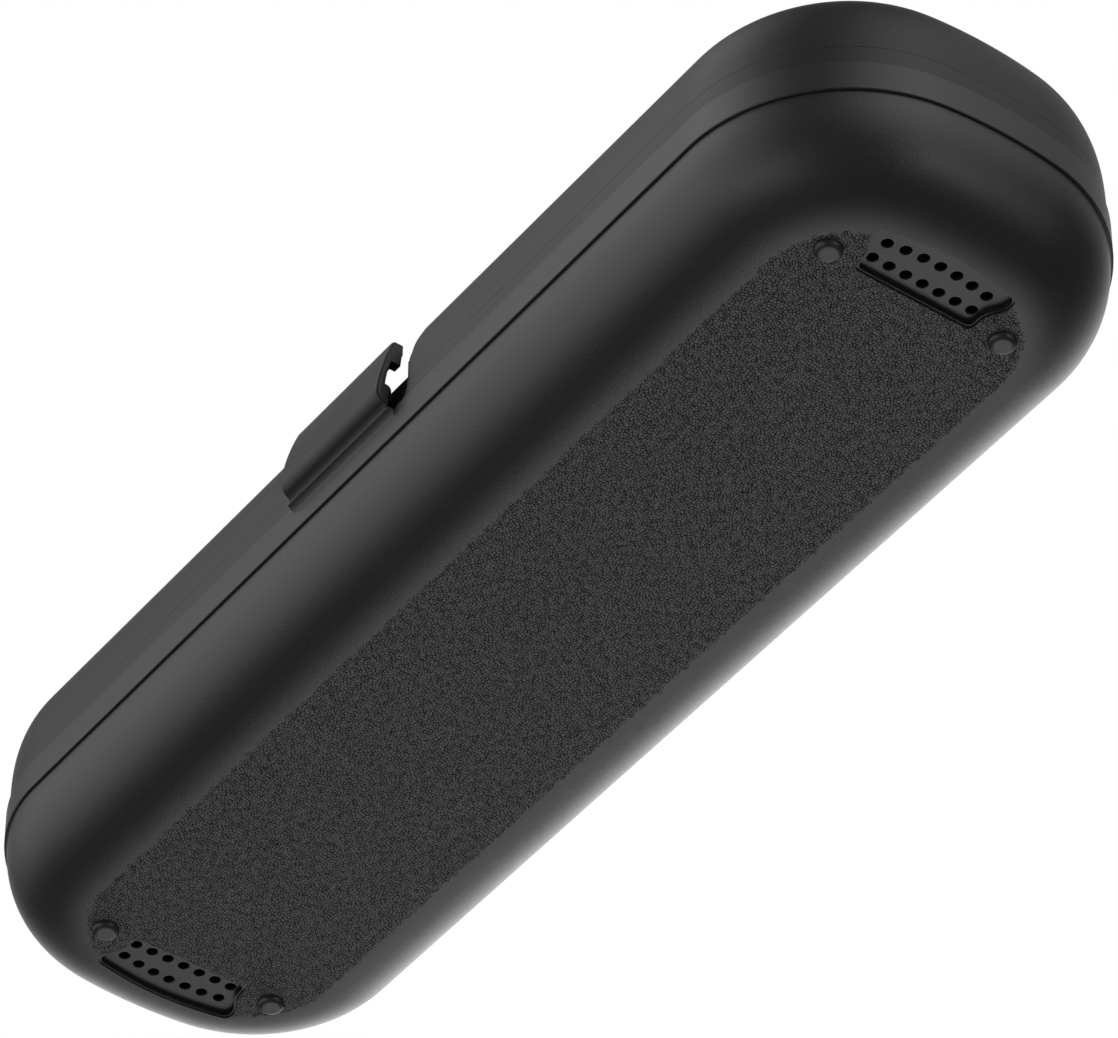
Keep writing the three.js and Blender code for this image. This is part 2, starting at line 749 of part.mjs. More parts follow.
// Clip latch: a bowed strap with a hooked top, closed by a cheek at each end, and a pivot block below
function latchSection() {
  const at = (out, up) => [-halfWidth - out, zSeam + up]
  const shape = new THREE.Shape()
  const blockIn = pivotOut - bossRadius + slimGap
  const blockTop = pivotUp + bossRadius * 2 + slimGap
  const span = latchTop - latchCrest
  const topOut = latchProud - span * (latchProud - rimProud) / (span + strapWall)
  shape.moveTo(...at(heelOut, latchFoot))
  shape.quadraticCurveTo(...at(heelOut + slimGap, rollUp - rollEase), ...at(rollOut, rollUp))
  shape.quadraticCurveTo(...at(latchProud, rollUp + rollSwell), ...at(latchProud, latchCrest))
  shape.quadraticCurveTo(
    ...at(latchProud - strapWall / 2, latchCrest + span / 2), ...at(topOut, latchTop - fitGap))
  shape.lineTo(...at(topOut - fitGap, latchTop))
  shape.lineTo(...at(fitGap - hookReach, latchTop))
  shape.lineTo(...at(-hookReach, latchTop - fitGap))
  shape.lineTo(...at(-hookReach, latchTop - hookWall))
  shape.lineTo(...at(topOut - strapWall + hookWall / 4, latchTop - hookWall))
  shape.quadraticCurveTo(
    ...at(latchProud - strapWall * 3 / 2, latchCrest + span / 2),
    ...at(latchProud - strapWall - fitGap, blockTop))
  shape.quadraticCurveTo(...at(blockIn, blockTop), ...at(blockIn, blockTop - strapWall))
  shape.lineTo(...at(blockIn, pivotUp - bossRadius))
  shape.closePath()
  return shape
}

function cheekSection() {
  const at = (out, up) => [-halfWidth - out, zSeam + up]
  const shape = new THREE.Shape()
  const low = latchTop - cheekDrop
  shape.moveTo(...at(strapWall * 5 / 4, low))
  shape.lineTo(...at(rimProud, latchTop - fitGap))
  shape.lineTo(...at(-hookReach, latchTop - fitGap))
  shape.lineTo(...at(-hookReach + rimProud, low))
  shape.closePath()
  return shape
}

function earSlot(side) {
  const [y, z] = latchAxis()
  const x0 = side * earX - earWidth / 2 - fitGap
  const x1 = x0 + earWidth + fitGap * 2
  const round = bossRadius + fitGap * 2 / 3
  const shape = new THREE.Shape()
  shape.moveTo(y, z - round)
  shape.lineTo(y + earSkinLean, z - (pivotUp - latchFoot))
  shape.lineTo(y + overrun, z - (pivotUp - latchFoot))
  shape.lineTo(y + overrun, z + overrun)
  shape.lineTo(y, z + overrun)
  shape.closePath()
  return runAlongX(shape, x0, x1).add(rodAlongX(round, x0, x1, y, z))
}

function latchClip() {
  const half = latchLength / 2
  const strap = runAlongX(latchSection(), -half, half)
  const cheeks = [1, -1].map((side) => {
    const outer = side * half
    const inner = side * (half - cheekWall)
    return runAlongX(cheekSection(), Math.min(outer, inner), Math.max(outer, inner))
  })
  return cutBy(joined([strap, ...cheeks]), [latchPinBore(), earSlot(1), earSlot(-1)])
}

function latchPin() {
  const [y, z] = latchAxis()
  return rodAlongX(latchPinRadius, -latchLength / 2 + fitGap, earX + earWidth, y, z, pinSteps)
}

// The assembly, each piece a named mesh
const group = new THREE.Group()

function place(name, body, material) {
  const mesh = new THREE.Mesh(geometryOf(body), material)
  mesh.name = name
  group.add(mesh)
}

place('bottom_shell', bottomShell(), satinBlack)
place('base_rim', baseRim(), satinBlack)
place('tray_deck', trayDeck(), trayBlack)
place('handle_trough', handleTrough(), trayBlack)
place('head_box_right', headBox(1), trayBlack)
place('head_box_left', headBox(-1), trayBlack)
place('lid_frame', lidFrame(), satinBlack)
place('lid_shell', lidShell(), satinBlack)
place('latch_clip', latchClip(), satinBlack)
place('latch_pin', latchPin(), darkSteel)
place('hinge_pin_right', hingePin(hingeX), darkSteel)
place('hinge_pin_left', hingePin(-hingeX), darkSteel)
const footNames = ['foot_front_right', 'foot_rear_right', 'foot_front_left', 'foot_rear_left']
footPlaces().forEach(([x, y], i) => place(footNames[i], foot(x, y), rubberBlack))

export default group
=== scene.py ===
"""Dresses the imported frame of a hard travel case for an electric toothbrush.

Sizes in the classes are millimetres, and the finished pieces are metres. +X runs along the case, the latch
faces -Y and the lid is towards +Z.
"""

import logging
import math
from dataclasses import dataclass
from enum import Enum
from typing import Any, Callable, Iterable, Sequence

import bmesh
import bpy
import numpy as np
from mathutils import Matrix, Vector

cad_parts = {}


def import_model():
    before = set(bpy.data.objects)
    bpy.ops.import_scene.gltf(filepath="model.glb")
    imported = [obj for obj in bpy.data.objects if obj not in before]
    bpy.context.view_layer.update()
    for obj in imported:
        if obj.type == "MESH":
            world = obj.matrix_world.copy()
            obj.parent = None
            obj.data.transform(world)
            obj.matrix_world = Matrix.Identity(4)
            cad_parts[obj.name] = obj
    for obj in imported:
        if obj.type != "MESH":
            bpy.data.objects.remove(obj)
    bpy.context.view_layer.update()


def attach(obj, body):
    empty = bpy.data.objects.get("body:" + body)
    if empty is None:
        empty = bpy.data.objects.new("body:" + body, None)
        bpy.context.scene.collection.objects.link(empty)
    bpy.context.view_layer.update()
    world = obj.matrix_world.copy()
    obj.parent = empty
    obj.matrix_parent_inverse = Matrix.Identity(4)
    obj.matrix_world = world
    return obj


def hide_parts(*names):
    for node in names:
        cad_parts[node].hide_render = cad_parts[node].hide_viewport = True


MM = 0.001
TINY = 1e-9
SAME_POINT = 1e-5
LEAST_REACH = 0.5
Pair = tuple[float, float]
Level = tuple[float, float]
Triple = tuple[float, float, float]

log = logging.getLogger("travel_case")


# Curves and sections


class Path:
    """An outline in a plane, drawn with straight lines and quadratic curves."""

    def __init__(self, start: Pair) -> None:
        """Starts the outline at a point."""
        self.points: list[Pair] = [start]

    def line(self, *ends: Pair) -> "Path":
        """Adds straight lines to each end in turn.

        Args:
            ends: The points that the lines run to.

        Returns:
            The same outline, for chaining.
        """
        self.points.extend(ends)
        return self

    def curve(self, bend: Pair, end: Pair, steps: int = 10) -> "Path":
        """Adds a quadratic curve.

        Args:
            bend: The control point that the curve leans towards.
            end: The point that the curve runs to.
            steps: The number of short lines it is made of.

        Returns:
            The same outline, for chaining.
        """
        start = self.points[-1]
        for i in range(1, steps + 1):
            t = i / steps
            weights = ((1 - t) ** 2, 2 * t * (1 - t), t * t)
            self.points.append(tuple(
                sum(w * p[axis] for w, p in zip(weights, (start, bend, end))) for axis in (0, 1)))
        return self

    def arc(self, centre: Pair, radius: float, start: float, end: float, steps: int = 16) -> "Path":
        """Adds a circular arc.

        Args:
            centre: The arc's centre.
            radius: The arc's radius.
            start: The angle it starts at, in degrees.
            end: The angle it ends at, in degrees.
            steps: The number of short lines it is made of.

        Returns:
            The same outline, for chaining.
        """
        for i in range(steps + 1):
            angle = math.radians(start + (end - start) * i / steps)
            self.points.append((centre[0] + radius * math.cos(angle), centre[1] + radius * math.sin(angle)))
        return self


def rounded(corners: Sequence[Triple], steps: int = 4) -> list[Pair]:
    """Rounds the corners of a closed outline.

    Args:
        corners: Each corner's two coordinates and the length that its rounding takes from each side.
        steps: The number of short lines in each rounding.

    Returns:
        The outline's points.
    """
    points: list[Pair] = []
    count = len(corners)
    for i, (x, y, size) in enumerate(corners):
        if size <= 0:
            points.append((x, y))
            continue
        here = np.array((x, y))
        before = np.array(corners[i - 1][:2]) - here
        after = np.array(corners[(i + 1) % count][:2]) - here
        start = here + before / np.linalg.norm(before) * size
        end = here + after / np.linalg.norm(after) * size
        path = Path(tuple(start)).curve((x, y), tuple(end), steps)
        points.extend(path.points)
    return points


def offset(section: Sequence[Pair], distance: float) -> np.ndarray:
    """Moves a closed outline outward along its corners' bisectors.

    Args:
        section: The outline's points, running anticlockwise.
        distance: How far the sides move out; negative moves them in.

    Returns:
        The moved points, one row each.
    """
    points = np.array(section, float)
    ahead = np.roll(points, -1, 0) - points
    ahead /= np.maximum(np.linalg.norm(ahead, axis=1, keepdims=True), TINY)
    behind = np.roll(ahead, 1, 0)
    normal_ahead = np.stack([ahead[:, 1], -ahead[:, 0]], 1)
    normal_behind = np.stack([behind[:, 1], -behind[:, 0]], 1)
    bisector = normal_ahead + normal_behind
    bisector /= np.maximum(np.linalg.norm(bisector, axis=1, keepdims=True), TINY)
    reach = np.maximum(np.sum(bisector * normal_ahead, axis=1, keepdims=True), LEAST_REACH)
    return points + bisector / reach * distance


def anticlockwise(section: Sequence[Pair]) -> list[Pair]:
    """Turns an outline so that it runs anticlockwise, without repeated points.

    Args:
        section: The outline's points.

    Returns:
        The points that are kept, in their new order.
    """
    kept = [p for i, p in enumerate(section) if math.dist(p, section[i - 1]) > SAME_POINT]
    area = sum(a[0] * b[1] - b[0] * a[1] for a, b in zip(kept, kept[1:] + kept[:1]))
    return kept if area > 0 else kept[::-1]


def quarter_turn(steps: int) -> list[float]:
    """The angles of a quarter turn in equal steps, in radians."""
    return [i / steps * math.pi / 2 for i in range(steps + 1)]


def roll_curve(width: float, height: float, power: float, steps: int) -> list[Level]:
    """The quarter curve of a rolled edge.

    Args:
        width: How far the roll runs in.
        height: How far the roll rises.
        power: The superellipse's power, 2 for an ellipse and more for a squarer roll.
        steps: The number of steps round the roll.

    Returns:
        Pairs of inset and rise between zero and their full sizes.
    """
    levels = []
    for angle in quarter_turn(steps):
        inset = width * (1 - max(math.cos(angle), 0) ** (2 / power))
        levels.append((inset, height * math.sin(angle) ** (2 / power)))
    return levels


@dataclass(frozen=True)
class Outline:
    """The case's plan: straight long sides, round corners and gently bowed ends."""

    half_length: float = 114.44
    half_width: float = 34.71
    corner_radius: float = 28.2
    end_radius: float = 83.7
    end_steps: int = 8
    corner_steps: int = 36
    side_steps: int = 16

    @property
    def corner_centre(self) -> Pair:
        """The centre of the corner's arc.

        Returns:
            Its place in X and Y.
        """
        side = self.half_width - self.corner_radius
        reach = self.end_radius - self.corner_radius
        return self.half_length - self.end_radius + math.sqrt(reach * reach - side * side), side

    def ring(self, inset: float, z: float, end_share: float = 0.0) -> np.ndarray:
        """The outline moved in and lifted to a height.

        Args:
            inset: How far it moves in.
            z: Its height.
            end_share: The share of the inset that the ends don't take.

        Returns:
            The ring's points, one row each, anticlockwise from above.
        """
        corner_x, side = self.corner_centre
        end_x = self.half_length - self.end_radius
        meet = math.atan2(corner_x - end_x, side)
        quarter = [(end_x, 0.0, self.end_radius, math.pi / 2 + (meet - math.pi / 2) * i / self.end_steps)
                   for i in range(self.end_steps)]
        quarter += [(corner_x, side, self.corner_radius, meet * (1 - i / self.corner_steps))
                    for i in range(self.corner_steps + 1)]
        quarter += [(corner_x * (1 - i / self.side_steps), side, self.corner_radius, 0.0)
                    for i in range(1, self.side_steps + 1)]
        points = []
        for x, y, radius, angle in quarter:
            across = math.sin(angle)
            moved = radius - inset * (1 - end_share * across * across)
            points.append((x + moved * across, y + moved * math.cos(angle)))
        q = np.array(points)
        whole = np.concatenate([q, q[-2::-1] * (-1, 1), q[1:] * (-1, -1), q[-2:0:-1] * (1, -1)])
        return np.column_stack([whole, np.full(len(whole), z)])

    def rings(self, levels: Iterable[Level], end_share: float = 0.0) -> list[np.ndarray]:
        """A ring for each pair of inset and height."""
        return [self.ring(inset, z, end_share) for inset, z in levels]


# Bodies that are joined and cut


class Join(Enum):
    """The ways that one body changes another."""

    ADD = "UNION"
    CUT = "DIFFERENCE"


class Body:
    """A closed mesh in millimetres, from its first loft to its last cut."""

    def __init__(self, name: str, vertices: np.ndarray, faces: list[tuple[int, ...]]) -> None:
        """Makes the mesh and turns its faces outward.

        Args:
            name: The body's name.
            vertices: Its points, one row each.
            faces: Each face's points, by their rows.
        """
        mesh = bpy.data.meshes.new(name)
        mesh.from_pydata(np.asarray(vertices, float).tolist(), [], faces)
        shape = bmesh.new()
        shape.from_mesh(mesh)
        bmesh.ops.recalc_face_normals(shape, faces=shape.faces)
        if shape.calc_volume(signed=True) < 0:
            bmesh.ops.reverse_faces(shape, faces=shape.faces)
        shape.to_mesh(mesh)
        shape.free()
        self.obj = bpy.data.objects.new(name, mesh)
        bpy.context.scene.collection.objects.link(self.obj)

    @classmethod
    def loft(cls, name: str, rings: Sequence[np.ndarray], closed: bool = False) -> "Body":
        """A body through rings with the same number of points.

        Args:
            name: The body's name.
            rings: The rings in order.
            closed: True where the last ring joins the first, as in a hoop.

        Returns:
            The body, with flat caps unless it is closed.
        """
        count, rows = len(rings[0]), len(rings)
        faces = []
        for row in range(rows if closed else rows - 1):
            low, high = row * count, (row + 1) % rows * count
            for i in range(count):
                j = (i + 1) % count
                faces.append((low + i, low + j, high + j, high + i))
        if not closed:
            faces.append(tuple(range(count - 1, -1, -1)))
            faces.append(tuple((rows - 1) * count + i for i in range(count)))
        return cls(name, np.concatenate([np.asarray(ring, float) for ring in rings]), faces)

    @classmethod
    def hoop(cls, name: str, outline: Outline, profile: Sequence[Level]) -> "Body":
        """A closed profile of insets and heights, run round the case's outline."""
        return cls.loft(name, outline.rings(profile), closed=True)

    @classmethod
    def prism(cls, name: str, section: Sequence[Pair], ends: Pair, axis: str = "X", edge: float = 0.0,
              steps: int = 3) -> "Body":
        """A section run straight between two places.

        Args:
            name: The body's name.
            section: Its points, in Y and Z for axis X, or in X and Y for axis Z.
            ends: The two places along the axis.
            axis: The axis it runs along, X or Z.
            edge: The radius that rounds the edges at both ends.
            steps: The number of steps in that rounding.

        Returns:
            The body.
        """
        base = anticlockwise(section)
        turns = quarter_turn(steps) if edge else [math.pi / 2]
        rim = [(edge * (1 - math.cos(a)), edge * (1 - math.sin(a))) for a in turns]
        places = [(min(ends) + depth, inset) for depth, inset in rim]
        places += [(max(ends) - depth, inset) for depth, inset in reversed(rim)]
        rings = []
        for place, inset in places:
            plan = offset(base, -inset)
            along = np.full(len(plan), place)
            columns = (along, plan[:, 0], plan[:, 1]) if axis == "X" else (plan[:, 0], plan[:, 1], along)
            rings.append(np.column_stack(columns))
        return cls.loft(name, rings)

    @classmethod
    def rod(cls, name: str, radius: float, ends: Pair, centre: Pair, edge: float = 0.0,
            sides: int = 48) -> "Body":
        """A round rod along X, with rounded ends where an edge radius is given."""
        section = Path(centre).arc(centre, radius, 0, 360 * (1 - 1 / sides), sides - 1).points[1:]
        return cls.prism(name, section, ends, "X", edge, steps=5)

    @classmethod
    def turned(cls, name: str, profile: Sequence[Pair], centre: Pair, sides: int = 48) -> "Body":
        """A profile of radii and heights turned round an upright axis.

        Args:
            name: The body's name.
            profile: Pairs of radius and height; the first and last lie near the axis.
            centre: The axis's place in X and Y.
            sides: The number of sides round it.

        Returns:
            The body.
        """
        angles = np.arange(sides) / sides * 2 * math.pi
        rings = [np.column_stack([centre[0] + radius * np.cos(angles), centre[1] + radius * np.sin(angles),
                                  np.full(sides, z)]) for radius, z in profile]
        return cls.loft(name, rings)

    def settle(self) -> None:
        """Turns the modifiers' result into the body's own plain mesh."""
        bpy.context.view_layer.update()
        graph = bpy.context.evaluated_depsgraph_get()
        mesh = bpy.data.meshes.new_from_object(self.obj.evaluated_get(graph))
        old = self.obj.data
        self.obj.modifiers.clear()
        self.obj.data = mesh
        bpy.data.meshes.remove(old)

    def drop(self) -> None:
        """Removes the body from the scene."""
        mesh = self.obj.data
        bpy.data.objects.remove(self.obj)
        bpy.data.meshes.remove(mesh)

    def combine(self, join: Join, *tools: "Body") -> "Body":
        """Joins tools to this body or cuts them out of it, which uses them up.

        Args:
            join: What the tools do.
            tools: The other bodies.

        Returns:
            The same body, changed.
        """
        for tool in tools:
            step = self.obj.modifiers.new("combine", "BOOLEAN")
            step.operation = join.value
            step.solver = "MANIFOLD"
            step.object = tool.obj
        self.settle()
        for tool in tools:
            tool.drop()
        return self

    def add(self, *tools: "Body") -> "Body":
        """Joins other bodies to this one."""
        return self.combine(Join.ADD, *tools)

    def cut(self, *tools: "Body") -> "Body":
        """Cuts other bodies out of this one."""
        return self.combine(Join.CUT, *tools)

    def copy(self, name: str) -> "Body":
        """Makes a second body of the same shape.

        Args:
            name: The second body's name.

        Returns:
            The second body.
        """
        twin = Body.__new__(Body)
        twin.obj = bpy.data.objects.new(name, self.obj.data.copy())
        bpy.context.scene.collection.objects.link(twin.obj)
        return twin

    def mirrored(self) -> "Body":
        """Mirrors the body from one end of the case to the other.

        Returns:
            The same body.
        """
        mesh = self.obj.data
        mesh.transform(Matrix.Diagonal((-1, 1, 1, 1)))
        mesh.flip_normals()
        return self


# Shader nodes


class Graph:
    """Adds nodes to a tree and links them."""

    def __init__(self, tree: bpy.types.NodeTree) -> None:
        """Holds the tree that is added to."""
        self.tree = tree

    def add(self, kind: str, inputs: dict[Any, Any] | None = None, **settings: Any) -> bpy.types.Node:
        """Adds one node.

        Args:
            kind: The node's type.
            inputs: Values or sockets for its inputs, by name or number.
            settings: The node's own properties.

        Returns:
            The node.
        """
        node = self.tree.nodes.new(kind)
        for name, value in settings.items():
            setattr(node, name, value)
        for key, value in (inputs or {}).items():
            if isinstance(value, bpy.types.NodeSocket):
                self.tree.links.new(value, node.inputs[key])
            else:
                node.inputs[key].default_value = value
        return node

    def math(self, operation: str, *values: Any, clamp: bool = False) -> bpy.types.NodeSocket:
        """Adds a math node and returns its result."""
        node = self.add("ShaderNodeMath", dict(enumerate(values)), operation=operation, use_clamp=clamp)
        return node.outputs[0]

    def ramp(self, value: Any, low: float, high: float, start: float = 0.0,
             end: float = 1.0) -> bpy.types.NodeSocket:
        """Adds a smooth step of a value from low to high, which gives start to end."""
        given = {"Value": value, "From Min": low, "From Max": high, "To Min": start, "To Max": end}
        return self.add("ShaderNodeMapRange", given, interpolation_type="SMOOTHSTEP").outputs["Result"]


def new_group(name: str, kind: str, inputs: dict[str, tuple[str, Any]], outputs: dict[str, str]
              ) -> tuple[bpy.types.NodeTree, bpy.types.Node, bpy.types.Node]:
    """Makes an empty node group with named sockets.

    Args:
        name: The group's name.
        kind: The tree's type.
        inputs: Each input's socket type and its default value.
        outputs: Each output's socket type.

    Returns:
        The tree, its input node and its output node.
    """
    tree = bpy.data.node_groups.new(name, kind)
    for label, (socket_type, value) in inputs.items():
        socket = tree.interface.new_socket(label, in_out="INPUT", socket_type=socket_type)
        if value is not None:
            socket.default_value = value
    for label, socket_type in outputs.items():
        tree.interface.new_socket(label, in_out="OUTPUT", socket_type=socket_type)
    return tree, tree.nodes.new("NodeGroupInput"), tree.nodes.new("NodeGroupOutput")


FLOAT = "NodeSocketFloat"
VECTOR = "NodeSocketVector"
COLOUR = "NodeSocketColor"


def moulded_skin_group() -> bpy.types.NodeTree:
    """The faint tone, sheen and fine tooth of a moulded face, shared by every plastic and the rubber.

    Returns:
        A group with Colour, Roughness and Tooth.
    """
    tree, given, result = new_group(
        "moulded_skin", "ShaderNodeTree",
        {"Position": (VECTOR, None), "Colour": (COLOUR, (0.02, 0.02, 0.02, 1)), "Roughness": (FLOAT, 0.45),
         "Tooth Scale": (FLOAT, 4000.0), "Cloud Scale": (FLOAT, 70.0), "Tone Spread": (FLOAT, 0.1),
         "Sheen Spread": (FLOAT, 0.04)},
        {"Colour": COLOUR, "Roughness": FLOAT, "Tooth": FLOAT})
    graph = Graph(tree)
    place, spread = given.outputs["Position"], given.outputs["Tone Spread"]
    tooth = graph.add("ShaderNodeTexNoise", {"Vector": place, "Detail": 2.0, "Roughness": 0.6,
                                             "Scale": given.outputs["Tooth Scale"]})
    cloud = graph.add("ShaderNodeTexNoise", {"Vector": place, "Detail": 3.0, "Roughness": 0.5,
                                             "Scale": given.outputs["Cloud Scale"]})
    sway = graph.math("SUBTRACT", cloud.outputs["Fac"], 0.5)
    speck = graph.math("SUBTRACT", tooth.outputs["Fac"], 0.5)
    tone = graph.math("ADD", graph.math("MULTIPLY", sway, spread), graph.math("MULTIPLY", speck, spread))
    gain = graph.math("ADD", tone, 1.0)
    coloured = graph.add("ShaderNodeVectorMath", {0: given.outputs["Colour"], "Scale": gain},
                         operation="SCALE")
    rough = graph.math("MULTIPLY_ADD", sway, given.outputs["Sheen Spread"], given.outputs["Roughness"])
    tree.links.new(coloured.outputs["Vector"], result.inputs["Colour"])
    tree.links.new(rough, result.inputs["Roughness"])
    tree.links.new(tooth.outputs["Fac"], result.inputs["Tooth"])
    return tree


def leather_grain_group() -> bpy.types.NodeTree:
    """Short, wandering creases between small raised cells, on a panel with round corners.

    Returns:
        A group with Crease, Height and Panel, each from 0 to 1.
    """
    tree, given, result = new_group(
        "leather_grain", "ShaderNodeTree",
        {"Position": (VECTOR, None), "Cell Scale": (FLOAT, 2000.0), "Wander": (FLOAT, 0.35),
         "Crease Width": (FLOAT, 0.2), "Corner X": (FLOAT, 0.08586), "Corner Y": (FLOAT, 0.00651),
         "Corner Radius": (FLOAT, 0.0147), "Flat Height": (FLOAT, 0.00115)},
        {"Crease": FLOAT, "Height": FLOAT, "Panel": FLOAT})
    graph = Graph(tree)
    place, cell_scale = given.outputs["Position"], given.outputs["Cell Scale"]
    wander_share, break_share = 0.9, 0.45
    wander = graph.add("ShaderNodeTexNoise", {"Vector": place, "Detail": 1.0,
                                              "Scale": graph.math("MULTIPLY", cell_scale, wander_share)})
    sway = graph.add("ShaderNodeVectorMath", {0: wander.outputs["Color"], 1: (0.5, 0.5, 0.5)},
                     operation="SUBTRACT")
    reach = graph.math("DIVIDE", given.outputs["Wander"], cell_scale)
    moved = graph.add("ShaderNodeVectorMath", {0: sway.outputs["Vector"], "Scale": reach}, operation="SCALE")
    warped = graph.add("ShaderNodeVectorMath", {0: place, 1: moved.outputs["Vector"]}, operation="ADD")
    cell_inputs = {"Vector": warped.outputs["Vector"], "Randomness": 1.0, "Scale": cell_scale}
    cells = graph.add("ShaderNodeTexVoronoi", cell_inputs, voronoi_dimensions="2D",
                      feature="DISTANCE_TO_EDGE")
    breaks = graph.add("ShaderNodeTexNoise", {"Vector": place, "Detail": 1.0,
                                              "Scale": graph.math("MULTIPLY", cell_scale, break_share)})
    broken = graph.ramp(breaks.outputs["Fac"], low=0.3, high=0.7, start=0.6, end=1.25)
    width = graph.math("MULTIPLY", given.outputs["Crease Width"], broken)
    share = graph.math("DIVIDE", cells.outputs["Distance"], width, clamp=True)
    dome = graph.ramp(share, 0.0, 1.0)
    crease = graph.math("SUBTRACT", 1.0, dome)
    centre = graph.add("ShaderNodeTexVoronoi", cell_inputs, voronoi_dimensions="2D", feature="F1")
    apart = graph.add("ShaderNodeSeparateXYZ", {"Vector": centre.outputs["Position"]})
    dx = graph.math("MAXIMUM", graph.math("SUBTRACT", graph.math("ABSOLUTE", apart.outputs["X"]),
                                          given.outputs["Corner X"]), 0.0)
    dy = graph.math("MAXIMUM", graph.math("SUBTRACT", graph.math("ABSOLUTE", apart.outputs["Y"]),
                                          given.outputs["Corner Y"]), 0.0)
    square = graph.math("ADD", graph.math("MULTIPLY", dx, dx), graph.math("MULTIPLY", dy, dy))
    inside = graph.math("LESS_THAN", graph.math("SQRT", square), given.outputs["Corner Radius"])
    height = graph.add("ShaderNodeSeparateXYZ", {"Vector": place})
    flat = graph.math("LESS_THAN", height.outputs["Z"], given.outputs["Flat Height"])
    panel = graph.math("MULTIPLY", inside, flat)
    tree.links.new(graph.math("MULTIPLY", crease, panel), result.inputs["Crease"])
    tree.links.new(dome, result.inputs["Height"])
    tree.links.new(panel, result.inputs["Panel"])
    return tree


class Groups:
    """The shader groups that several finishes share, each built once."""

    built: dict[str, bpy.types.NodeTree] = {}

    @classmethod
    def get(cls, make: Callable[[], bpy.types.NodeTree]) -> bpy.types.NodeTree:
        """The group that a function makes, made on its first use.

        Args:
            make: The function that makes the group.

        Returns:
            The group.
        """
        if make.__name__ not in cls.built:
            cls.built[make.__name__] = make()
        return cls.built[make.__name__]


class Slot(Enum):
    """The record's material slots."""

    SHELL = "shell"
    TRAY = "tray"
    LATCH = "latch"
    FOOT = "foot"
    PIN = "pin"


@dataclass(frozen=True)
class Finish:
    """A moulded black finish with a satin tooth, and the base of the others."""

    name: str
    slot: Slot
    colour: Triple
    roughness: float
    tooth_scale: float = 4200.0
    cloud_scale: float = 70.0
    tone_spread: float = 0.12
    sheen_spread: float = 0.05
    bump_strength: float = 0.9
    bump_depth: float = 0.00005
    metallic: float = 0.0
    specular: float = 0.5

    def material(self) -> bpy.types.Material:
        """The finish's material, made on its first use."""
        found = bpy.data.materials.get(self.name)
        return found or self.build()

    def build(self) -> bpy.types.Material:
        """Makes the material.

        Returns:
            The material with its own shader, fed by the shared groups.
        """
        made = bpy.data.materials.new(self.name)
        made.use_nodes = True
        tree = made.node_tree
        tree.nodes.clear()
        graph = Graph(tree)
        output = graph.add("ShaderNodeOutputMaterial")
        shader = graph.add("ShaderNodeBsdfPrincipled",
                           {"Metallic": self.metallic, "Specular IOR Level": self.specular})
        place = graph.add("ShaderNodeTexCoord").outputs["Object"]
        self.dress(graph, shader, place)
        tree.links.new(shader.outputs["BSDF"], output.inputs["Surface"])
        return made

    def skin(self, graph: Graph, place: bpy.types.NodeSocket) -> bpy.types.Node:
        """Adds the shared moulded skin with this finish's values.

        Args:
            graph: The material's nodes.
            place: The object coordinates.

        Returns:
            The skin's node.
        """
        node = graph.add("ShaderNodeGroup", node_tree=Groups.get(moulded_skin_group))
        values = {"Colour": (*self.colour, 1.0), "Roughness": self.roughness, "Tooth Scale": self.tooth_scale,
                  "Cloud Scale": self.cloud_scale, "Tone Spread": self.tone_spread,
                  "Sheen Spread": self.sheen_spread}
        for label, value in values.items():
            node.inputs[label].default_value = value
        graph.tree.links.new(place, node.inputs["Position"])
        return node

    def dress(self, graph: Graph, shader: bpy.types.Node, place: bpy.types.NodeSocket) -> None:
        """Feeds the shader's colour, roughness and normal.

        Args:
            graph: The material's nodes.
            shader: The surface shader.
            place: The object coordinates.
        """
        skin = self.skin(graph, place)
        bump = graph.add("ShaderNodeBump", {"Strength": self.bump_strength, "Distance": self.bump_depth,
                                            "Height": skin.outputs["Tooth"]})
        graph.tree.links.new(skin.outputs["Colour"], shader.inputs["Base Color"])
        graph.tree.links.new(skin.outputs["Roughness"], shader.inputs["Roughness"])
        graph.tree.links.new(bump.outputs["Normal"], shader.inputs["Normal"])


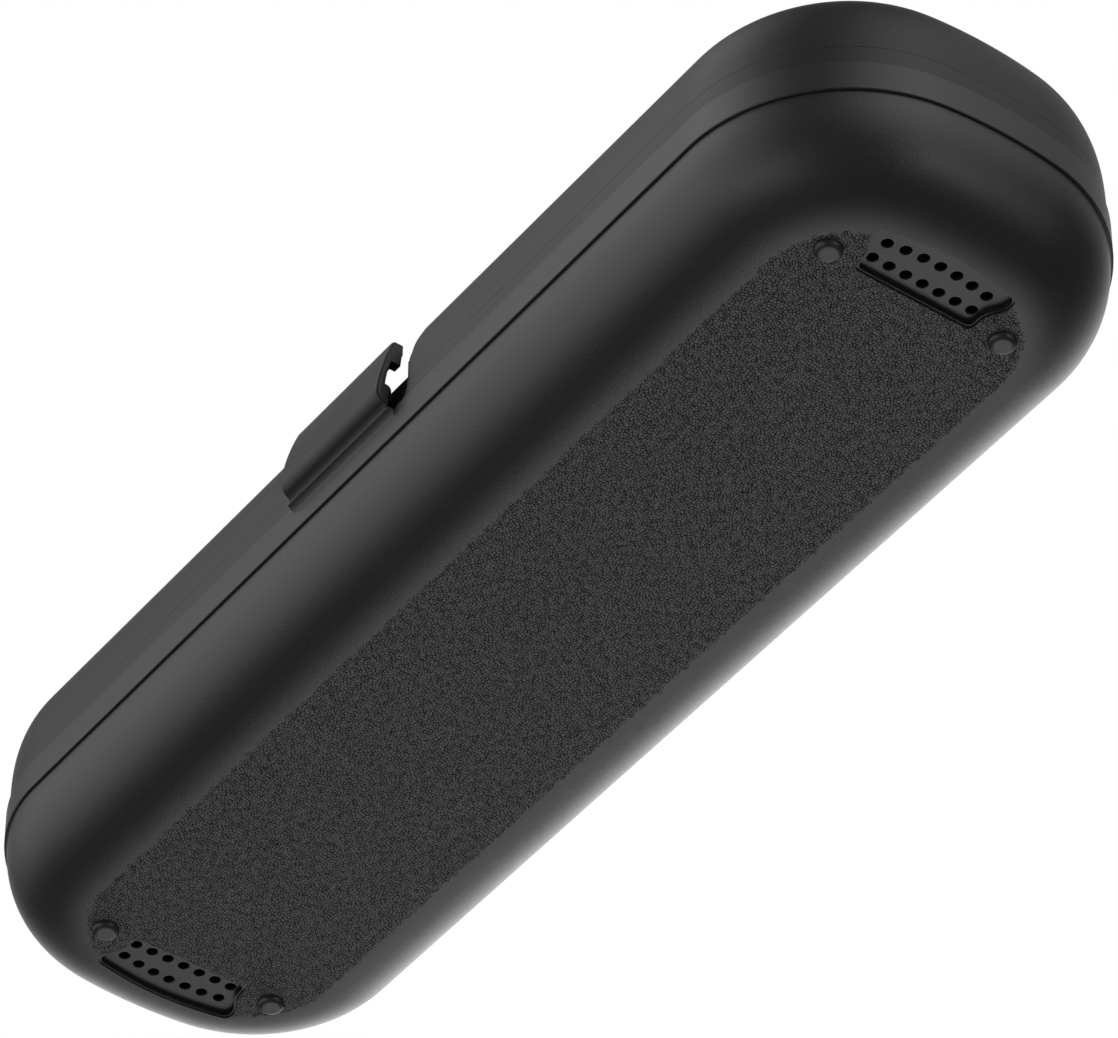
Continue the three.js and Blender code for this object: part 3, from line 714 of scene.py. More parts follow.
@dataclass(frozen=True)
class GrainedFinish(Finish):
    """The bottom shell's finish: satin all over, with a leather-grained panel on its flat underside, whose
    creases have shade painted into their colour.
    """

    cell_scale: float = 1950.0
    wander: float = 1.0
    crease_width: float = 0.21
    panel_colour: Triple = (0.025, 0.025, 0.0254)
    # Painted shade: the black base colour that the grain's creases take, standing in for the shade that falls
    # into them.
    painted_crease_shade: Triple = (0.0, 0.0, 0.0)
    crease_dulling: float = 0.5
    panel_roughness: float = 0.46
    grain_strength: float = 1.0
    grain_depth: float = 0.00016

    @staticmethod
    def mix(graph: Graph, share: bpy.types.NodeSocket, under: bpy.types.NodeSocket,
            over: Triple) -> bpy.types.NodeSocket:
        """Mixes a plain colour over a varying one.

        Args:
            graph: The material's nodes.
            share: How much of the plain colour shows.
            under: The varying colour.
            over: The plain colour.

        Returns:
            The mixed colour.
        """
        apart = graph.add("ShaderNodeVectorMath", {0: over, 1: under}, operation="SUBTRACT")
        part = graph.add("ShaderNodeVectorMath", {0: apart.outputs["Vector"], "Scale": share},
                         operation="SCALE")
        whole = graph.add("ShaderNodeVectorMath", {0: under, 1: part.outputs["Vector"]}, operation="ADD")
        return whole.outputs["Vector"]

    def dress(self, graph: Graph, shader: bpy.types.Node, place: bpy.types.NodeSocket) -> None:
        """Feeds the shader with the skin, and with the grain on the panel, with shade painted into the
        grain's creases.

        Args:
            graph: The material's nodes.
            shader: The surface shader.
            place: The object coordinates.
        """
        skin = self.skin(graph, place)
        grain = graph.add("ShaderNodeGroup", node_tree=Groups.get(leather_grain_group))
        for label, value in {"Cell Scale": self.cell_scale, "Wander": self.wander,
                             "Crease Width": self.crease_width}.items():
            grain.inputs[label].default_value = value
        graph.tree.links.new(place, grain.inputs["Position"])
        crease, panel = grain.outputs["Crease"], grain.outputs["Panel"]
        shade = self.mix(graph, panel, skin.outputs["Colour"], self.panel_colour)
        # Paints shade into the creases by blending their base colour towards black.
        shade = self.mix(graph, crease, shade, self.painted_crease_shade)
        rough = graph.math("ADD", skin.outputs["Roughness"],
                           graph.math("MULTIPLY", panel, self.panel_roughness - self.roughness))
        dull = graph.math("MULTIPLY_ADD", crease, self.crease_dulling, rough, clamp=True)
        tooth = graph.add("ShaderNodeBump", {"Strength": self.bump_strength, "Distance": self.bump_depth,
                                             "Height": skin.outputs["Tooth"]})
        level = graph.math("MULTIPLY", graph.math("SUBTRACT", grain.outputs["Height"], 1.0), panel)
        relief = graph.add("ShaderNodeBump", {"Strength": self.grain_strength, "Distance": self.grain_depth,
                                              "Height": level, "Normal": tooth.outputs["Normal"]})
        graph.tree.links.new(shade, shader.inputs["Base Color"])
        graph.tree.links.new(dull, shader.inputs["Roughness"])
        graph.tree.links.new(relief.outputs["Normal"], shader.inputs["Normal"])


@dataclass(frozen=True)
class DrawnSteelFinish(Finish):
    """Bright wire with fine lines along X, left by drawing."""

    line_scale: float = 9000.0
    line_spread: float = 0.3
    stretch: float = 0.02

    def dress(self, graph: Graph, shader: bpy.types.Node, place: bpy.types.NodeSocket) -> None:
        """Feeds the shader with the skin, and with drawn lines in its roughness and bump.

        Args:
            graph: The material's nodes.
            shader: The surface shader.
            place: The object coordinates.
        """
        skin = self.skin(graph, place)
        drawn = graph.add("ShaderNodeMapping", {"Vector": place, "Scale": (self.stretch, 1.0, 1.0)})
        lines = graph.add("ShaderNodeTexNoise", {"Vector": drawn.outputs["Vector"], "Scale": self.line_scale,
                                                 "Detail": 2.0})
        sway = graph.math("SUBTRACT", lines.outputs["Fac"], 0.5)
        rough = graph.math("MULTIPLY_ADD", sway, self.line_spread, skin.outputs["Roughness"])
        bump = graph.add("ShaderNodeBump", {"Strength": self.bump_strength, "Distance": self.bump_depth,
                                            "Height": lines.outputs["Fac"]})
        graph.tree.links.new(skin.outputs["Colour"], shader.inputs["Base Color"])
        graph.tree.links.new(rough, shader.inputs["Roughness"])
        graph.tree.links.new(bump.outputs["Normal"], shader.inputs["Normal"])


BOTTOM_PLASTIC = GrainedFinish("grained_black_plastic", Slot.SHELL, (0.011, 0.011, 0.0114), 0.42)
SHELL_PLASTIC = Finish("satin_black_plastic", Slot.SHELL, (0.011, 0.011, 0.0114), 0.42)
LID_PLASTIC = Finish("lid_black_plastic", Slot.SHELL, (0.011, 0.011, 0.0114), 0.44, specular=0.36)
LATCH_PLASTIC = Finish("latch_black_plastic", Slot.LATCH, (0.009, 0.009, 0.0094), 0.42, specular=0.32)
TRAY_PLASTIC = Finish("tray_black_plastic", Slot.TRAY, (0.026, 0.026, 0.0265), 0.50)
FOOT_RUBBER = Finish("black_rubber", Slot.FOOT, (0.011, 0.011, 0.011), 0.44, tooth_scale=7000.0,
                     bump_strength=0.2)
PIN_STEEL = DrawnSteelFinish("drawn_steel", Slot.PIN, (0.45, 0.45, 0.46), 0.28, metallic=1.0,
                             tone_spread=0.05, bump_strength=0.15, bump_depth=0.00001)


# Repeated pieces


def row_tree() -> bpy.types.NodeTree:
    """Geometry nodes that repeat a piece in a row, which may bow like an arc.

    Returns:
        The tree.
    """
    tree, given, result = new_group(
        "row_of_copies", "GeometryNodeTree",
        {"Geometry": ("NodeSocketGeometry", None), "Count": ("NodeSocketInt", 3),
         "Step": (VECTOR, (0.0, 4.0, 0.0)), "Bow": (VECTOR, (0.0, 0.0, 0.0)), "Bow Radius": (FLOAT, 1000.0),
         "Material": ("NodeSocketMaterial", None)},
        {"Geometry": "NodeSocketGeometry"})
    graph = Graph(tree)
    middle = graph.math("MULTIPLY", graph.math("SUBTRACT", given.outputs["Count"], 1.0), 0.5)
    back = graph.math("MULTIPLY", middle, -1.0)
    start = graph.add("ShaderNodeVectorMath", {0: given.outputs["Step"], "Scale": back}, operation="SCALE")
    line = graph.add("GeometryNodeMeshLine",
                     {"Count": given.outputs["Count"], "Start Location": start.outputs["Vector"],
                      "Offset": given.outputs["Step"]}, mode="OFFSET")
    pitch = graph.add("ShaderNodeVectorMath", {0: given.outputs["Step"]}, operation="LENGTH")
    index = graph.add("GeometryNodeInputIndex")
    place = graph.math("SUBTRACT", index.outputs["Index"], middle)
    along = graph.math("MULTIPLY", place, pitch.outputs["Value"])
    radius = given.outputs["Bow Radius"]
    leg = graph.math("SQRT", graph.math("SUBTRACT", graph.math("MULTIPLY", radius, radius),
                                        graph.math("MULTIPLY", along, along)))
    sag = graph.math("SUBTRACT", radius, leg)
    shift = graph.add("ShaderNodeVectorMath", {0: given.outputs["Bow"], "Scale": sag}, operation="SCALE")
    bowed = graph.add("GeometryNodeSetPosition",
                      {"Geometry": line.outputs["Mesh"], "Offset": shift.outputs["Vector"]})
    copies = graph.add("GeometryNodeInstanceOnPoints", {"Points": bowed.outputs["Geometry"],
                                                        "Instance": given.outputs["Geometry"]})
    real = graph.add("GeometryNodeRealizeInstances", {"Geometry": copies.outputs["Instances"]})
    dressed = graph.add("GeometryNodeSetMaterial", {"Geometry": real.outputs["Geometry"],
                                                    "Material": given.outputs["Material"]})
    tree.links.new(dressed.outputs["Geometry"], result.inputs["Geometry"])
    return tree


def in_row(body: Body, finish: Finish, count: int, step: Sequence[float], bow: Sequence[float] = (0, 0, 0),
           bow_radius: float = 1000.0) -> Body:
    """Repeats a body in a row centred on its own place.

    Args:
        body: The piece that is repeated.
        finish: The finish that the tree sets.
        count: The number of copies.
        step: The vector from one copy to the next.
        bow: The direction in which a bowed row falls away from its middle.
        bow_radius: The radius of that bow.

    Returns:
        The same body, holding every copy.
    """
    row = body.obj.modifiers.new("row", "NODES")
    row.node_group = Groups.get(row_tree)
    values = {"Count": count, "Step": tuple(float(v) for v in step), "Bow": tuple(float(v) for v in bow),
              "Bow Radius": float(bow_radius), "Material": finish.material()}
    for item in row.node_group.interface.items_tree:
        if item.name in values and item.in_out == "INPUT":
            row[item.identifier] = values[item.name]
    body.settle()
    return body


def show(body: Body, finish: Finish, rides_on: str, nodes: Sequence[str], crease: float = 40.0,
         weighted: bool = True) -> bpy.types.Object:
    """Turns a body into a finished piece that stands for CAD nodes.

    Args:
        body: The body in millimetres.
        finish: Its finish.
        rides_on: The CAD body that it moves with.
        nodes: The CAD nodes that it replaces.
        crease: The angle in degrees above which an edge stays sharp.
        weighted: True where large flat faces keep their normals at rounded edges.

    Returns:
        The piece.
    """
    obj = body.obj
    mesh = obj.data
    mesh.transform(Matrix.Scale(MM, 4))
    mesh.shade_smooth()
    mesh.set_sharp_from_angle(angle=math.radians(crease))
    if weighted:
        even = obj.modifiers.new("even", "WEIGHTED_NORMAL")
        even.mode = "FACE_AREA_WITH_ANGLE"
        even.weight = 50
        even.keep_sharp = True
        body.settle()
        mesh = obj.data
    mesh.materials.clear()
    mesh.materials.append(finish.material())
    mesh.polygons.foreach_set("material_index", np.zeros(len(mesh.polygons), np.int32))
    mesh.update()
    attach(obj, rides_on)
    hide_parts(*nodes)
    triangles = sum(len(face.vertices) - 2 for face in mesh.polygons)
    log.info("%s: %d triangles on %s", obj.name, triangles, rides_on)
    return obj


# The case's heights and shared sizes


@dataclass(frozen=True)
class Levels:
    """The heights and gaps that the sub-assemblies share."""

    panel: float = 1.0
    seam: float = 15.96
    opening: float = 21.48
    lid: float = 25.12
    top: float = 41.49
    deck: float = 19.48
    seam_gap: float = 0.06
    wall: float = 1.8
    fit: float = 0.3
    slim: float = 0.15
    past: float = 6.0
    flat_near: float = 0.7
    flat_far: float = 3.0


OUTLINE = Outline()
LEVELS = Levels()
FRONT = -OUTLINE.half_width
PIVOT_OUT = 1.6
PIVOT_UP = 7.7
LATCH_AXIS = (FRONT - PIVOT_OUT, LEVELS.seam + PIVOT_UP)
LATCH_BORE_START = -26.0
HINGE_OUT = 1.4
HINGE_AXIS = (OUTLINE.half_width + HINGE_OUT, LEVELS.opening)
HINGE_X = 52.0
HINGE_PLACES = (HINGE_X, -HINGE_X)
FOOT_X = 93.2
FOOT_Y = 15.8
FOOT_PLACES = {"foot_front_right": (FOOT_X, -FOOT_Y), "foot_rear_right": (FOOT_X, FOOT_Y),
               "foot_front_left": (-FOOT_X, -FOOT_Y), "foot_rear_left": (-FOOT_X, FOOT_Y)}


@dataclass(frozen=True)
class BottomShell:
    """The outer moulding below the seam, with its rolled edge, vents and foot holes."""

    roll_width: float = 14.5
    roll_power: float = 2.167
    roll_steps: int = 26
    lip: float = 0.03
    lip_share: float = 0.3
    vent_inner: float = 92.25
    vent_outer: float = 102.3
    vent_half: float = 10.6
    vent_corner: float = 1.2
    vent_neck: float = 2.0
    vent_flare: float = 1.9
    vent_tip: float = 0.8
    vent_arc: float = 45.0
    vent_floor: float = 2.22
    vent_rim: float = 0.1
    vent_step: float = 0.3
    vent_step_up: float = 0.36
    vent_lip: float = 0.1
    vent_undercut: float = 0.35
    vent_past: float = 1.0
    pad_margin: float = 1.2
    pad_wall: float = 1.0
    pad_edge: float = 0.2
    hole_core: float = 0.02
    hole_radius: float = 0.913
    hole_rim: float = 0.07
    hole_lip: float = 0.35
    hole_back: float = 1.22
    hole_flare: float = 0.2
    hole_near: float = 0.4
    hole_past: float = 3.0
    hole_count: int = 7
    hole_pitch: float = 3.0
    inner_row: float = 94.73
    inner_row_radius: float = 1e5
    outer_row: float = 98.96
    outer_row_radius: float = 50.7
    foot_hole_radius: float = 1.25
    foot_hole_top: float = 5.0

    @property
    def high(self) -> float:
        """The height of the shell's lip."""
        return LEVELS.seam - LEVELS.seam_gap / 2

    def inner_inset(self, z: float) -> float:
        """How far the inner face has run in at a height.

        Args:
            z: The height.

        Returns:
            The inset from the outline.
        """
        width = self.roll_width - LEVELS.wall / 2
        sine = ((self.high - z) / (self.high - LEVELS.panel - LEVELS.wall)) ** (self.roll_power / 2)
        return LEVELS.wall + width * (1 - (1 - sine * sine) ** (1 / self.roll_power))

    def cup(self) -> Body:
        """The hollow cup, from its flat underside out over the roll and the lip, and down inside.

        Returns:
            The cup.
        """
        low, wall, lip = LEVELS.panel, LEVELS.wall, self.lip
        lip_bend = lip * self.lip_share
        outer = roll_curve(self.roll_width, self.high - low, self.roll_power, self.roll_steps)
        inner = roll_curve(self.roll_width - wall / 2, self.high - low - wall, self.roll_power,
                           self.roll_steps // 2)
        levels = [(self.roll_width + LEVELS.flat_far, low), (self.roll_width + LEVELS.flat_near, low)]
        levels += [(inset, self.high - drop) for inset, drop in reversed(outer[1:])]
        levels += [(0.0, self.high - lip), (lip_bend, self.high - lip_bend), (lip, self.high)]
        levels += [(wall - lip, self.high), (wall, self.high - lip)]
        levels += [(wall + inset, self.high - drop) for inset, drop in inner[1:]]
        levels.append((wall + self.roll_width + LEVELS.flat_far, low + wall))
        return Body.loft("bottom_shell", OUTLINE.rings(levels))

    def vent_plan(self, grow: float) -> list[Pair]:
        """The plan of the sunk grille at the right-hand end.

        Args:
            grow: How far its edge moves out.

        Returns:
            The plan's points.
        """
        inner, outer, half = self.vent_inner - grow, self.vent_outer + grow, self.vent_half + grow
        tip_half, arc = half + self.vent_flare, self.vent_arc + grow
        sag = arc - math.sqrt(arc * arc - tip_half * tip_half)
        tip_x, neck = outer - sag - self.vent_tip, inner + self.vent_neck
        bend = (neck + tip_x) / 2
        edge = Path((inner, half - self.vent_corner))
        edge.curve((inner, half), (inner + self.vent_corner, half), 6)
        edge.line((neck, half))
        edge.curve(((neck + bend) / 2, half), (bend, half + self.vent_flare / 2), 8)
        edge.curve(((tip_x + bend) / 2, tip_half), (tip_x, tip_half), 8)
        edge.curve((outer - sag, tip_half), (outer - sag + self.vent_tip / 2, tip_half - self.vent_tip), 6)
        edge.curve((outer, half / 2), (outer, 0.0), 12)
        upper = edge.points
        return upper + [(x, -y) for x, y in reversed(upper[:-1])]

    def vent_cutter(self) -> Body:
        """The sunk grille as a tool: a rounded rim, then an undercut above and below a thin ledge.

        Returns:
            The tool.
        """
        low, rim, lip = LEVELS.panel, self.vent_rim, self.vent_lip
        ledge, step, under = low + self.vent_step_up, self.vent_step, self.vent_undercut
        levels = [(low - self.vent_past, rim)]
        levels += [(low + rim * (1 - math.cos(a)), rim * (1 - math.sin(a))) for a in quarter_turn(4)]
        levels += [(low + rim + lip, 0.0), (low + rim + lip, under), (ledge, under), (ledge, -step)]
        levels += [(ledge + lip, -step), (ledge + lip, under - step), (self.vent_floor, under - step)]
        rings = []
        for z, grow in levels:
            plan = np.array(self.vent_plan(grow))
            rings.append(np.column_stack([plan, np.full(len(plan), z)]))
        return Body.loft("vent_cutter", rings)

    def hole_cutters(self) -> list[Body]:
        """Two rows of through holes, the outer row bowed like the end of the case.

        Returns:
            A tool for each row.
        """
        rim, low, core, hole = self.hole_rim, self.vent_floor, self.hole_core, self.hole_radius
        back, high = low + self.hole_lip, low + self.hole_past
        profile = [(core, low - self.hole_near), (hole + rim, low - self.hole_near)]
        profile += [(hole + rim * (1 - math.sin(a)), low + rim * (1 - math.cos(a))) for a in quarter_turn(3)]
        profile += [(hole, back), (self.hole_back, back + self.hole_flare)]
        profile += [(self.hole_back, high), (core, high)]
        rows = []
        for x, radius in ((self.inner_row, self.inner_row_radius), (self.outer_row, self.outer_row_radius)):
            unit = Body.turned("vent_hole", profile, (0, 0), sides=20)
            row = in_row(unit, BOTTOM_PLASTIC, self.hole_count, (0, self.hole_pitch, 0), (-1, 0, 0), radius)
            row.obj.data.transform(Matrix.Translation((x, 0, 0)))
            rows.append(row)
        return rows

    def build(self) -> None:
        """Makes the shell and shows it."""
        shell = self.cup()
        heights = (LEVELS.panel + LEVELS.wall / 2, self.vent_floor + self.pad_wall)
        pad = Body.prism("vent_pad", self.vent_plan(self.pad_margin), heights, "Z", self.pad_edge)
        shell.add(pad.copy("vent_pad_left").mirrored(), pad)
        tools = [self.vent_cutter(), *self.hole_cutters()]
        tools += [tool.copy("left").mirrored() for tool in tools]
        core, radius, top = self.hole_core, self.foot_hole_radius, self.foot_hole_top
        profile = [(core, 0), (radius, 0), (radius, top), (core, top)]
        tools += [Body.turned("foot_hole", profile, place, sides=24) for place in FOOT_PLACES.values()]
        shell.cut(*tools)
        show(shell, BOTTOM_PLASTIC, "base", ["bottom_shell"])


@dataclass(frozen=True)
class Foot:
    """A small rubber foot, pushed into the bottom shell."""

    core: float = 0.05
    flat_radius: float = 1.2
    flat_share: float = 0.9
    base_radius: float = 2.2
    height: float = 1.0
    stem_radius: float = 1.1
    barb: float = 0.5
    barb_low: float = 3.1
    top: float = 3.9

    def build(self, name: str, place: Pair) -> None:
        """Makes one foot.

        Args:
            name: The CAD node that it stands for.
            place: Its middle in X and Y.
        """
        reach = self.base_radius - self.flat_radius
        dome = [(self.flat_radius + reach * math.sin(a), self.height * (1 - math.cos(a)))
                for a in quarter_turn(10)]
        profile = [(self.core, 0.0), (self.flat_radius * self.flat_share, 0.0), *dome,
                   (self.stem_radius, self.height), (self.stem_radius, self.barb_low),
                   (self.stem_radius + self.barb, self.barb_low), (self.stem_radius, self.top),
                   (self.core, self.top)]
        show(Body.turned(name, profile, place, sides=40), FOOT_RUBBER, "base", [name])


@dataclass(frozen=True)
class Hinge:
    """The knuckles and pins at the back."""

    radius: float = 2.1
    pin_radius: float = 0.9
    body_knuckle: float = 5.0
    lid_knuckle: float = 8.0
    web_depth: float = 1.2
    edge: float = 0.2

    def relief(self, x: float, start: float, end: float) -> Body:
        """Room for a neighbour's knuckle, beside a hinge's middle.

        Args:
            x: The hinge's middle.
            start: Where the knuckle starts, from that middle.
            end: Where it ends.

        Returns:
            The room as a tool.
        """
        grow = LEVELS.fit + LEVELS.slim
        ends = (x + start - LEVELS.fit, x + end + LEVELS.fit)
        return Body.rod("relief", self.radius + grow, ends, HINGE_AXIS)

    def bore(self) -> Body:
        """The pins' bore through every knuckle."""
        far = HINGE_PLACES[0] + self.lid_knuckle + self.body_knuckle * 2
        return Body.rod("pin_bore", self.pin_radius + LEVELS.slim, (-far, far), HINGE_AXIS, sides=24)

    def knuckle(self, ends: Pair, side: float) -> Body:
        """One knuckle with its web.

        Args:
            ends: Its two ends along the case.
            side: -1 where the web hangs below the axis, 1 where it stands above.

        Returns:
            The knuckle.
        """
        y, z = HINGE_AXIS
        root = OUTLINE.half_width - self.web_depth
        section = Path((root, z)).line((root, z + side * self.radius))
        section.arc((y, z), self.radius, side * 90, -side * 180, 30)
        return Body.prism("knuckle", section.points, ends, "X", self.edge)

    def base_knuckles(self) -> list[Body]:
        """The four knuckles on the rim, as two pairs.

        Returns:
            A body for each pair.
        """
        near = self.lid_knuckle / 2 + LEVELS.fit
        gap = HINGE_PLACES[0] - HINGE_PLACES[1]
        pairs = []
        for start in (near, -near - self.body_knuckle):
            unit = self.knuckle((start, start + self.body_knuckle), -1)
            pairs.append(in_row(unit, SHELL_PLASTIC, 2, (gap, 0, 0)))
        return pairs

    def lid_knuckles(self) -> Body:
        """The two knuckles on the lid's frame."""
        unit = self.knuckle((-self.lid_knuckle / 2, self.lid_knuckle / 2), 1)
        return in_row(unit, LID_PLASTIC, 2, (HINGE_PLACES[0] - HINGE_PLACES[1], 0, 0))

    def build(self) -> None:
        """Makes the two pins."""
        half = self.lid_knuckle / 2 + LEVELS.fit + self.body_knuckle
        for name, x in zip(("hinge_pin_right", "hinge_pin_left"), HINGE_PLACES):
            pin = Body.rod(name, self.pin_radius, (x - half, x + half), HINGE_AXIS, self.edge, sides=40)
            show(pin, PIN_STEEL, "base", [name])


@dataclass(frozen=True)
class BaseRim:
    """The proud band, with the skirt and ledge inside, the latch's shelf and ears, and the rear knuckles."""

    proud: float = 0.45
    edge: float = 0.07
    low_edge: float = 0.28
    inner_edge: float = 0.15
    wall: float = 2.1
    skirt: float = 4.0
    skirt_round: float = 0.3
    ledge: float = 1.5
    ledge_round: float = 0.2
    deck_wall: float = 1.4
    shelf_half: float = 13.4
    shelf_root: float = 3.5
    shelf_reach: float = 1.6
    shelf_tip: float = 0.12
    shelf_lean: float = 0.1
    shelf_round: float = 0.05
    shelf_edge: float = 0.2
    heel_radius: float = 2.63
    heel_gap: float = 0.15
    heel_past: float = 1.0
    latch_foot: float = 5.07
    ear_x: float = 6.2
    ear_width: float = 3.0
    ear_rise: float = 2.6
    ear_arm: float = 1.2
    ear_edge: float = 0.12
    boss_radius: float = 1.0
    bore_radius: float = 0.65
    recess_depth: float = 2.0

    def band(self) -> Body:
        """The hoop of the band, skirt and ledge.

        Returns:
            The hoop.
        """
        low, high = LEVELS.seam + LEVELS.seam_gap / 2, LEVELS.opening
        skirt_low = LEVELS.seam - self.skirt
        seat, inside = LEVELS.deck - self.deck_wall, self.wall + self.ledge
        foot = BottomShell().inner_inset(skirt_low) + LEVELS.fit
        profile = rounded([
            (0.0, low, 0.0), (-self.proud, low, self.low_edge), (-self.proud, high, self.edge),
            (self.wall, high, self.inner_edge), (self.wall, seat, 0.0), (inside, seat, self.ledge_round),
            (inside, skirt_low, self.skirt_round), (foot, skirt_low, self.skirt_round),
            (LEVELS.wall + LEVELS.fit, LEVELS.seam, 0.0), (LEVELS.wall + LEVELS.fit, low, 0.0)])
        return Body.hoop("base_rim", OUTLINE, profile)

    def shelf(self) -> Body:
        """The shelf that flares out of the band under the latch.

        Returns:
            The shelf.
        """
        face, inside, tip = FRONT - self.proud, FRONT + self.wall / 2, FRONT - self.shelf_reach
        low, foot = LEVELS.seam + self.shelf_root, LEVELS.seam + self.latch_foot
        under = foot - self.heel_gap - self.shelf_tip
        lean, edge = self.shelf_lean, self.shelf_round
        section = Path((inside, low)).line((face + lean / 2, low))
        section.curve((face - lean, (low + under) / 2), (tip + edge, under), 12)
        section.curve((tip, under), (tip, under + edge), 4)
        section.line((tip, foot), (inside, foot))
        return Body.prism("shelf", section.points, (-self.shelf_half, self.shelf_half), "X", self.shelf_edge)

    def ears(self) -> list[Body]:
        """Two ears whose arms reach down to the latch's pin, each with a round boss.

        Returns:
            The ears.
        """
        y, z = LATCH_AXIS
        back = FRONT + self.recess_depth - LEVELS.fit
        front = y + self.heel_radius + self.heel_gap
        top = z + self.ear_rise + self.ear_arm / 2
        lean = math.atan2(self.ear_rise, (front + back) / 2 - y)
        dy, dz = math.sin(lean) * self.ear_arm / 2, math.cos(lean) * self.ear_arm / 2
        front_top = z + (front - y + dy) * math.tan(lean) - dz
        foot = LEVELS.deck
        section = [(back, foot), (back, top), (back - self.ear_arm, top), (y - dy, z + dz), (y + dy, z - dz),
                   (front, front_top), (front, foot)]
        root = [(FRONT, foot), (FRONT, z), (back, z), (back, foot)]
        parts = []
        for side in (1, -1):
            ends = (side * self.ear_x - self.ear_width / 2, side * self.ear_x + self.ear_width / 2)
            base = Body.prism("ear_root", root, ends, "X", self.ear_edge)
            swing = (ends[0] - self.heel_past, ends[1] + self.heel_past)
            base.cut(Body.rod("swing", self.heel_radius + self.heel_gap, swing, LATCH_AXIS, sides=96))
            arm = Body.prism("ear", section, ends, "X", self.ear_edge)
            parts.append(arm.add(base, Body.rod("boss", self.boss_radius, ends, LATCH_AXIS, self.ear_edge)))
        return parts

    def build(self, hinge: Hinge) -> None:
        """Makes the rim with its knuckles.

        Args:
            hinge: The rear hinges' sizes.
        """
        half = hinge.lid_knuckle / 2
        groove_half = self.shelf_half + LEVELS.fit
        rim = self.band()
        rim.add(self.shelf())
        groove = Body.rod("groove", self.heel_radius + self.heel_gap, (-groove_half, groove_half), LATCH_AXIS,
                          sides=96)
        rim.cut(groove, *[hinge.relief(x, -half, half) for x in HINGE_PLACES])
        rim.add(*self.ears(), *hinge.base_knuckles())
        end = self.ear_x + self.ear_width + LEVELS.fit
        bore = Body.rod("latch_bore", self.bore_radius, (LATCH_BORE_START, end), LATCH_AXIS, sides=24)
        rim.cut(bore, hinge.bore())
        show(rim, SHELL_PLASTIC, "base", ["base_rim"])


